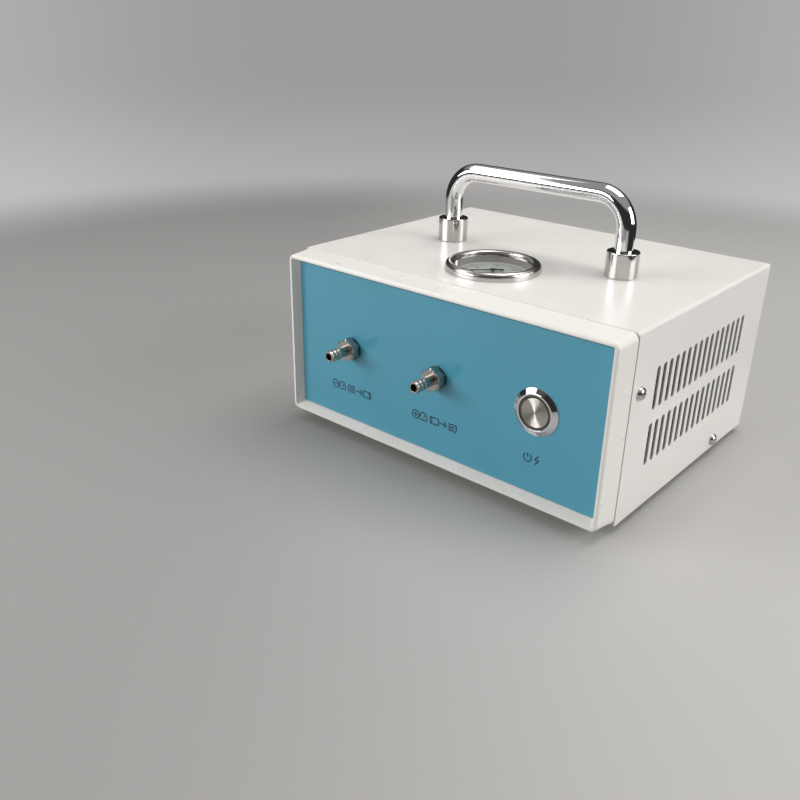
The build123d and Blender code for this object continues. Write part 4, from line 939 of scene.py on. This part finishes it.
signs = {
    "minus": [round_stroke(0.95, 0, 360), [(-0.5, 0), (0.5, 0)]],
    "plus": [round_stroke(0.95, 0, 360), [(-0.5, 0), (0.5, 0)],
             [(0, -0.5), (0, -0.12)], [(0, 0.12), (0, 0.5)]],
    "gauge": [round_stroke(0.95, -30, 210), [(-0.95, -0.8), (0.95, -0.8)],
              [(0, -0.25), (0.42, 0.42)]],
    "air": [wave(0.65), wave(0.0), wave(-0.65)],
    "arrow": [[(-0.95, 0), (0.5, 0)], [(0.2, 0.7), (0.85, 0.0)], [(0.85, 0.0), (0.2, -0.7)]],
    "port": [[(0.9, -0.85), (0.9, 0.85)], [(0.68, 0.75), (-0.68, 0.75)],
             [(-0.9, 0.85), (-0.9, -0.85)], [(-0.68, -0.75), (0.68, -0.75)]],
    "open": [round_stroke(1.7, 145, 215, x=1.95)],
    "close": [round_stroke(1.7, -35, 35, x=-1.95)],
    "power": [round_stroke(0.9, 125, 415), [(0, 0.1), (0, 1.0)]],
    "spark": [[(0.35, 1.0), (-0.4, 0.1)], [(-0.55, 0.0), (0.55, 0.0)],
              [(0.4, -0.1), (-0.35, -1.0)]],
}


def label(middle_x, names):
    """Strips for a row of signs with its middle at middle_x on the panel; a bracket takes half a
    sign's width."""
    widths = [0.5 if name in ("open", "close") else 1.0 for name in names]
    place = middle_x - sum(widths) * sign_pitch / 2
    strips = []
    for name, width in zip(names, widths):
        centre = place + width * sign_pitch / 2
        for path in signs[name]:
            flat = np.array(path, float) * sign_height / 2
            x, z = centre + flat[:, 0], sign_z + flat[:, 1]
            points = np.stack((x, np.full(len(flat), panel_face), z), axis=1)
            strips.append(strip(points, sign_stroke, (0, -1, 0)))
        place += width * sign_pitch
    return strips


inlet_low, inlet_high = (np.array(corner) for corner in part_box("inlet_barb"))
outlet_low, outlet_high = (np.array(corner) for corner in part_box("outlet_barb"))
button_low, button_high = (np.array(corner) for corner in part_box("button_housing"))
inlet_x = (inlet_low[0] + inlet_high[0]) / 2
outlet_x = (outlet_low[0] + outlet_high[0]) / 2
button_x = (button_low[0] + button_high[0]) / 2
prints = label(inlet_x, ["minus", "gauge", "open", "air", "arrow", "port", "close"])
prints += label(outlet_x, ["plus", "gauge", "open", "port", "arrow", "air", "close"])
prints += label(button_x, ["power", "spark"])
piece("panel_signs", prints, "panel_blue", finish=sign_ink)

# %% [markdown]
# Each hose barb is turned from brass bar and nickel plated. Its ridges are cones that end in a
# short land and a sharp step, which let a hose on and hold it there. The hexagon is the bar's own
# shape, with its corners turned off at the front. A boolean cut leaves ragged shading there, so
# the radius is worked out instead: at each angle it is the smaller of the flat's and the cone's.

# %% Hose barbs
barb_tip = inlet_low[1]
barb_z = (inlet_low[2] + inlet_high[2]) / 2
barb_size, barb_root, barb_bore = 8.0 * mm, 7.0 * mm, 5.0 * mm
barb_pitch, barb_land, barb_ridges = 3.2 * mm, 0.8 * mm, 3
hex_flats = inlet_high[2] - inlet_low[2]
hex_corner = hex_flats / 3**0.5
hex_front, hex_back = 15.0 * mm, 21.0 * mm
hex_groove, hex_slope = 0.3 * mm, 0.75
thread_radius = 5.0 * mm
bore_depth = 12.0 * mm
stub_radius, stub_bore = 2.5 * mm, 1.4 * mm
barb_length = inlet_high[1] - inlet_low[1]
thread_end = barb_length - 10.0 * mm


def hexagonal(angle):
    """Distance from the middle to a hexagon's edge, with flats across flats apart."""
    return hex_flats / 2 / np.cos((angle + np.pi / 6) % (np.pi / 3) - np.pi / 6)


def barb_front():
    """From inside the bore, round the tip and over the ridges to the hexagon's face."""
    points = [(barb_bore / 2, bore_depth), (barb_bore / 2, 0)]
    points.append((barb_root / 2, 0))
    for number in range(barb_ridges):
        base = number * barb_pitch
        points.append((barb_size / 2, base + barb_pitch - 2 * barb_land))
        points.append((barb_size / 2, base + barb_pitch - barb_land))
        points.append((barb_root / 2, base + barb_pitch - barb_land))
        if number < barb_ridges - 1:
            points.append((barb_root / 2, base + barb_pitch))
    points.append((barb_root / 2, hex_front))
    return eased(points, 0.12 * mm, steps=4, closed=False)


def barb_back():
    """Behind the hexagon: the thread, the stub for the inner hose, and the bore to the front."""
    points = [
        (thread_radius, hex_back),
        (thread_radius, thread_end),
        (stub_radius, thread_end),
        (stub_radius, barb_length),
        (stub_bore, barb_length),
        (stub_bore, bore_depth),
    ]
    return eased(points, 0.1 * mm, steps=3, closed=False)


def hose_barb(x):
    """Front, hexagon and back as one profile, turned about the fitting's axis."""
    chamfer = hex_corner - hex_flats / 2
    nut = [
        (barb_root / 2 + hex_groove, hex_front),
        (hex_flats / 2 - hex_groove, hex_front),
        (hex_corner, hex_front + hex_slope * chamfer),
        (hex_corner, hex_back),
    ]
    profile = np.concatenate((barb_front(), nut, barb_back()))
    points = turned(profile, (x, barb_tip, barb_z), (0, 1, 0), segments=144, shape=hexagonal)
    return shell(points, wrap_rows=True)


piece("nickel_inlet", [hose_barb(inlet_x)], "nickel_plate", replaces=["inlet_barb"], crease=28.0)
piece("nickel_outlet", [hose_barb(outlet_x)], "nickel_plate", replaces=["outlet_barb"], crease=28.0)

# %% [markdown]
# The push button has a turned steel body with a sloping flange and a thin bright lip. A plain
# bevelled disc would be quicker, but the slope of the flange decides which lamps it mirrors, and
# that makes its clear white and black sectors. So it gets its true profile, turned about the
# button's axis.

# %% Push button
button_front = button_low[1]
button_z = (button_low[2] + button_high[2]) / 2
flange_radius_button = (button_high[0] - button_low[0]) / 2
lip_radius, bore_radius, barrel_radius = 11.6 * mm, 10.65 * mm, 12.5 * mm
flange_depth, flange_edge = 2.2 * mm, 0.44 * mm
button_length = button_high[1] - button_low[1]
housing_corners = [
    (bore_radius, 0),
    (lip_radius, 0),
    (flange_radius_button, flange_depth - flange_edge),
    (flange_radius_button, flange_depth),
    (barrel_radius, flange_depth),
    (barrel_radius, button_length),
    (bore_radius, button_length),
]
housing_rounds = np.array((0.22, 0.25, 0.18, 0.1, 0.1, 0.2, 0.2)) * mm
housing_profile = eased(housing_corners, housing_rounds)
housing = turned(housing_profile, (button_x, button_front, button_z), (0, 1, 0), segments=144)
piece("polished_button_body", [shell(housing, wrap_rows=True)], "chrome_plate",
      replaces=["button_housing"])

# %% [markdown]
# The cap slides in the body, inside a smoked ring that would be lit from behind. It could be a
# plain cylinder, but a metal edge always catches a line of light. So its corners are rounded by a
# quarter of a millimetre. It has a stem on its back, and it rides on the body named button, which
# the joint moves.

# %% Button cap
cap_radius = (cap_high[0] - cap_low[0]) / 2
cap_thickness, stem_radius, cap_round = 4.0 * mm, 3.0 * mm, 0.25 * mm
cap_length = cap_high[1] - cap_low[1]
cap_outline = eased([
    (0, 0),
    (cap_radius, 0),
    (cap_radius, cap_thickness),
    (stem_radius, cap_thickness),
    (stem_radius, cap_length),
    (0, cap_length),
], cap_round, closed=False)
cap = turned(cap_outline, (button_x, cap_low[1], button_z), (0, 1, 0), segments=144)
piece("turned_cap", [shell(cap)], "brushed_cap", body="button", replaces=["button_cap"])

# %% [markdown]
# A coil spring pushes the cap out again. It can't ride on the cap or on the housing alone, because
# one end stays on the switch while the other goes in with the cap. A blend between the two would
# stretch the wire itself. So it would be squashed: its length would shrink towards the switch by
# exactly the travel of the button, and here that share of its length is worked out. The wire is a
# circle carried along a helix.

# %% Button spring
spring_low, spring_high = (np.array(corner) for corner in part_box("button_spring"))
spring_wire = 0.8 * mm
spring_turns = 3
spring_length = spring_high[1] - spring_low[1]
joints = {joint["name"]: joint for joint in frame["record"]["behaviour"]["joints"]}
button_travel = joints["button_press"]["range_m"][1]


def spring_coil(rows=108, columns=14):
    """Round the axis by angle while going back along it. The wire's circle lies across and along
    the axis: radius + wire * cos(around), depth + wire * sin(around)."""
    share = np.linspace(0, 1, rows)[:, None]
    angle = 2 * np.pi * spring_turns * share
    around = np.linspace(0, 2 * np.pi, columns, endpoint=False)[None, :]
    radius = (spring_high[0] - spring_low[0] - spring_wire) / 2 + spring_wire / 2 * np.cos(around)
    depth = spring_low[1] + spring_wire / 2 + (spring_length - spring_wire) * share
    x = (spring_low[0] + spring_high[0]) / 2 + radius * np.cos(angle)
    z = (spring_low[2] + spring_high[2]) / 2 + radius * np.sin(angle)
    return np.stack((x, depth + spring_wire / 2 * np.sin(around), z), axis=-1)


spring = piece("coil_spring", [shell(capped(spring_coil()))], "zinc_steel",
               replaces=["button_spring"])
pressed_share = 1 - button_travel / spring_length
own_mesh(spring)
print("spring pressed to a share of its length:", round(pressed_share, 3))

# %% [markdown]
# Four pan-head screws hold the cover. The head is a dome, and its cross recess is cut by lowering
# the surface inside two crossing slots whose walls slope. A boolean would cut it as sharply, but a
# height over a disc keeps the dome's shading smooth. Behind it the thread winds: the radius is a
# triangle wave of the height less the share of a turn.

# %% Cover screws
screws_low, screws_high = (np.array(corner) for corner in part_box("cover_screws"))
cover_low, cover_high = (np.array(corner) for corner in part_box("top_cover"))
head_radius = 4.0 * mm
head_height = screws_high[0] - cover_high[0]
recess_depth = 1.7 * mm
recess_arm = 2.3 * mm
recess_half = 0.5 * mm
recess_wall, recess_end = 0.22 * mm, 0.7 * mm
pit_radius, pit_wall, pit_share = 1.3 * mm, 0.5 * mm, 0.9
dome_power = 3.2
screw_radius, screw_length, screw_pitch = 2.0 * mm, 7.0 * mm, 0.7 * mm
thread_depth, point_length, point_share = 0.3 * mm, 1.5 * mm, 0.45


def screw_head(rows=44, columns=72):
    """Heights over a disc: a dome, less a cross and a pit whose depths fade over their walls."""
    radius = np.linspace(0, 1, rows)[:, None] * head_radius * np.ones(columns)
    angle = np.linspace(0, 2 * np.pi, columns, endpoint=False) + np.pi / 4
    x, y = radius * np.cos(angle), radius * np.sin(angle)
    dome = head_height * (1 - (radius / head_radius) ** dome_power) ** 0.5
    narrow = np.minimum(abs(x), abs(y))
    wide = np.maximum(abs(x), abs(y))
    wall = np.clip((recess_half - narrow) / recess_wall + 0.5, 0, 1)
    end = np.clip((recess_arm - wide) / recess_end, 0, 1)
    pit = np.clip((pit_radius - radius) / pit_wall, 0, 1)
    cut = np.maximum(wall * end, pit * pit_share)
    return np.stack((x, y, dome - recess_depth * cut), axis=-1)


def screw_thread(rows=80, columns=72):
    """Radius over height and angle: a triangle wave that climbs one pitch a turn, narrower at the
    point."""
    height = np.linspace(0, -screw_length, rows)[:, None] * np.ones(columns)
    angle = np.linspace(0, 2 * np.pi, columns, endpoint=False)
    phase = (height / screw_pitch - angle / (2 * np.pi)) % 1
    tooth = 1 - 2 * abs(phase - 0.5)
    taper = np.clip((height + screw_length) / point_length, point_share, 1)
    radius = (screw_radius - thread_depth * tooth) * taper
    return np.stack((radius * np.cos(angle), radius * np.sin(angle), height), axis=-1)


def screw_points():
    """Head, the flat under it and thread in one closed skin."""
    head = screw_head()
    rim = head[-1] * np.array((1, 1, 0))
    points = np.concatenate((head[:-1], rim[None], screw_thread()))
    return capped(points)


def facing(points, place, outwards):
    """Points about +Z turned to face along X, to the left or right, and put in place."""
    x, y, z = points[..., 0], points[..., 1], points[..., 2]
    return np.stack((outwards * z, y, x), axis=-1) + np.array(place)


screw_places = (
    (screws_low[1] + head_radius, screws_high[2] - head_radius),
    (screws_high[1] - head_radius, screws_low[2] + head_radius),
)
screws = []
for outwards in (-1, 1):
    for y, z in screw_places:
        screws.append(shell(facing(screw_points(), (outwards * cover_high[0], y, z), outwards)))
piece("cross_screws", screws, "plated_steel", replaces=["cover_screws"])
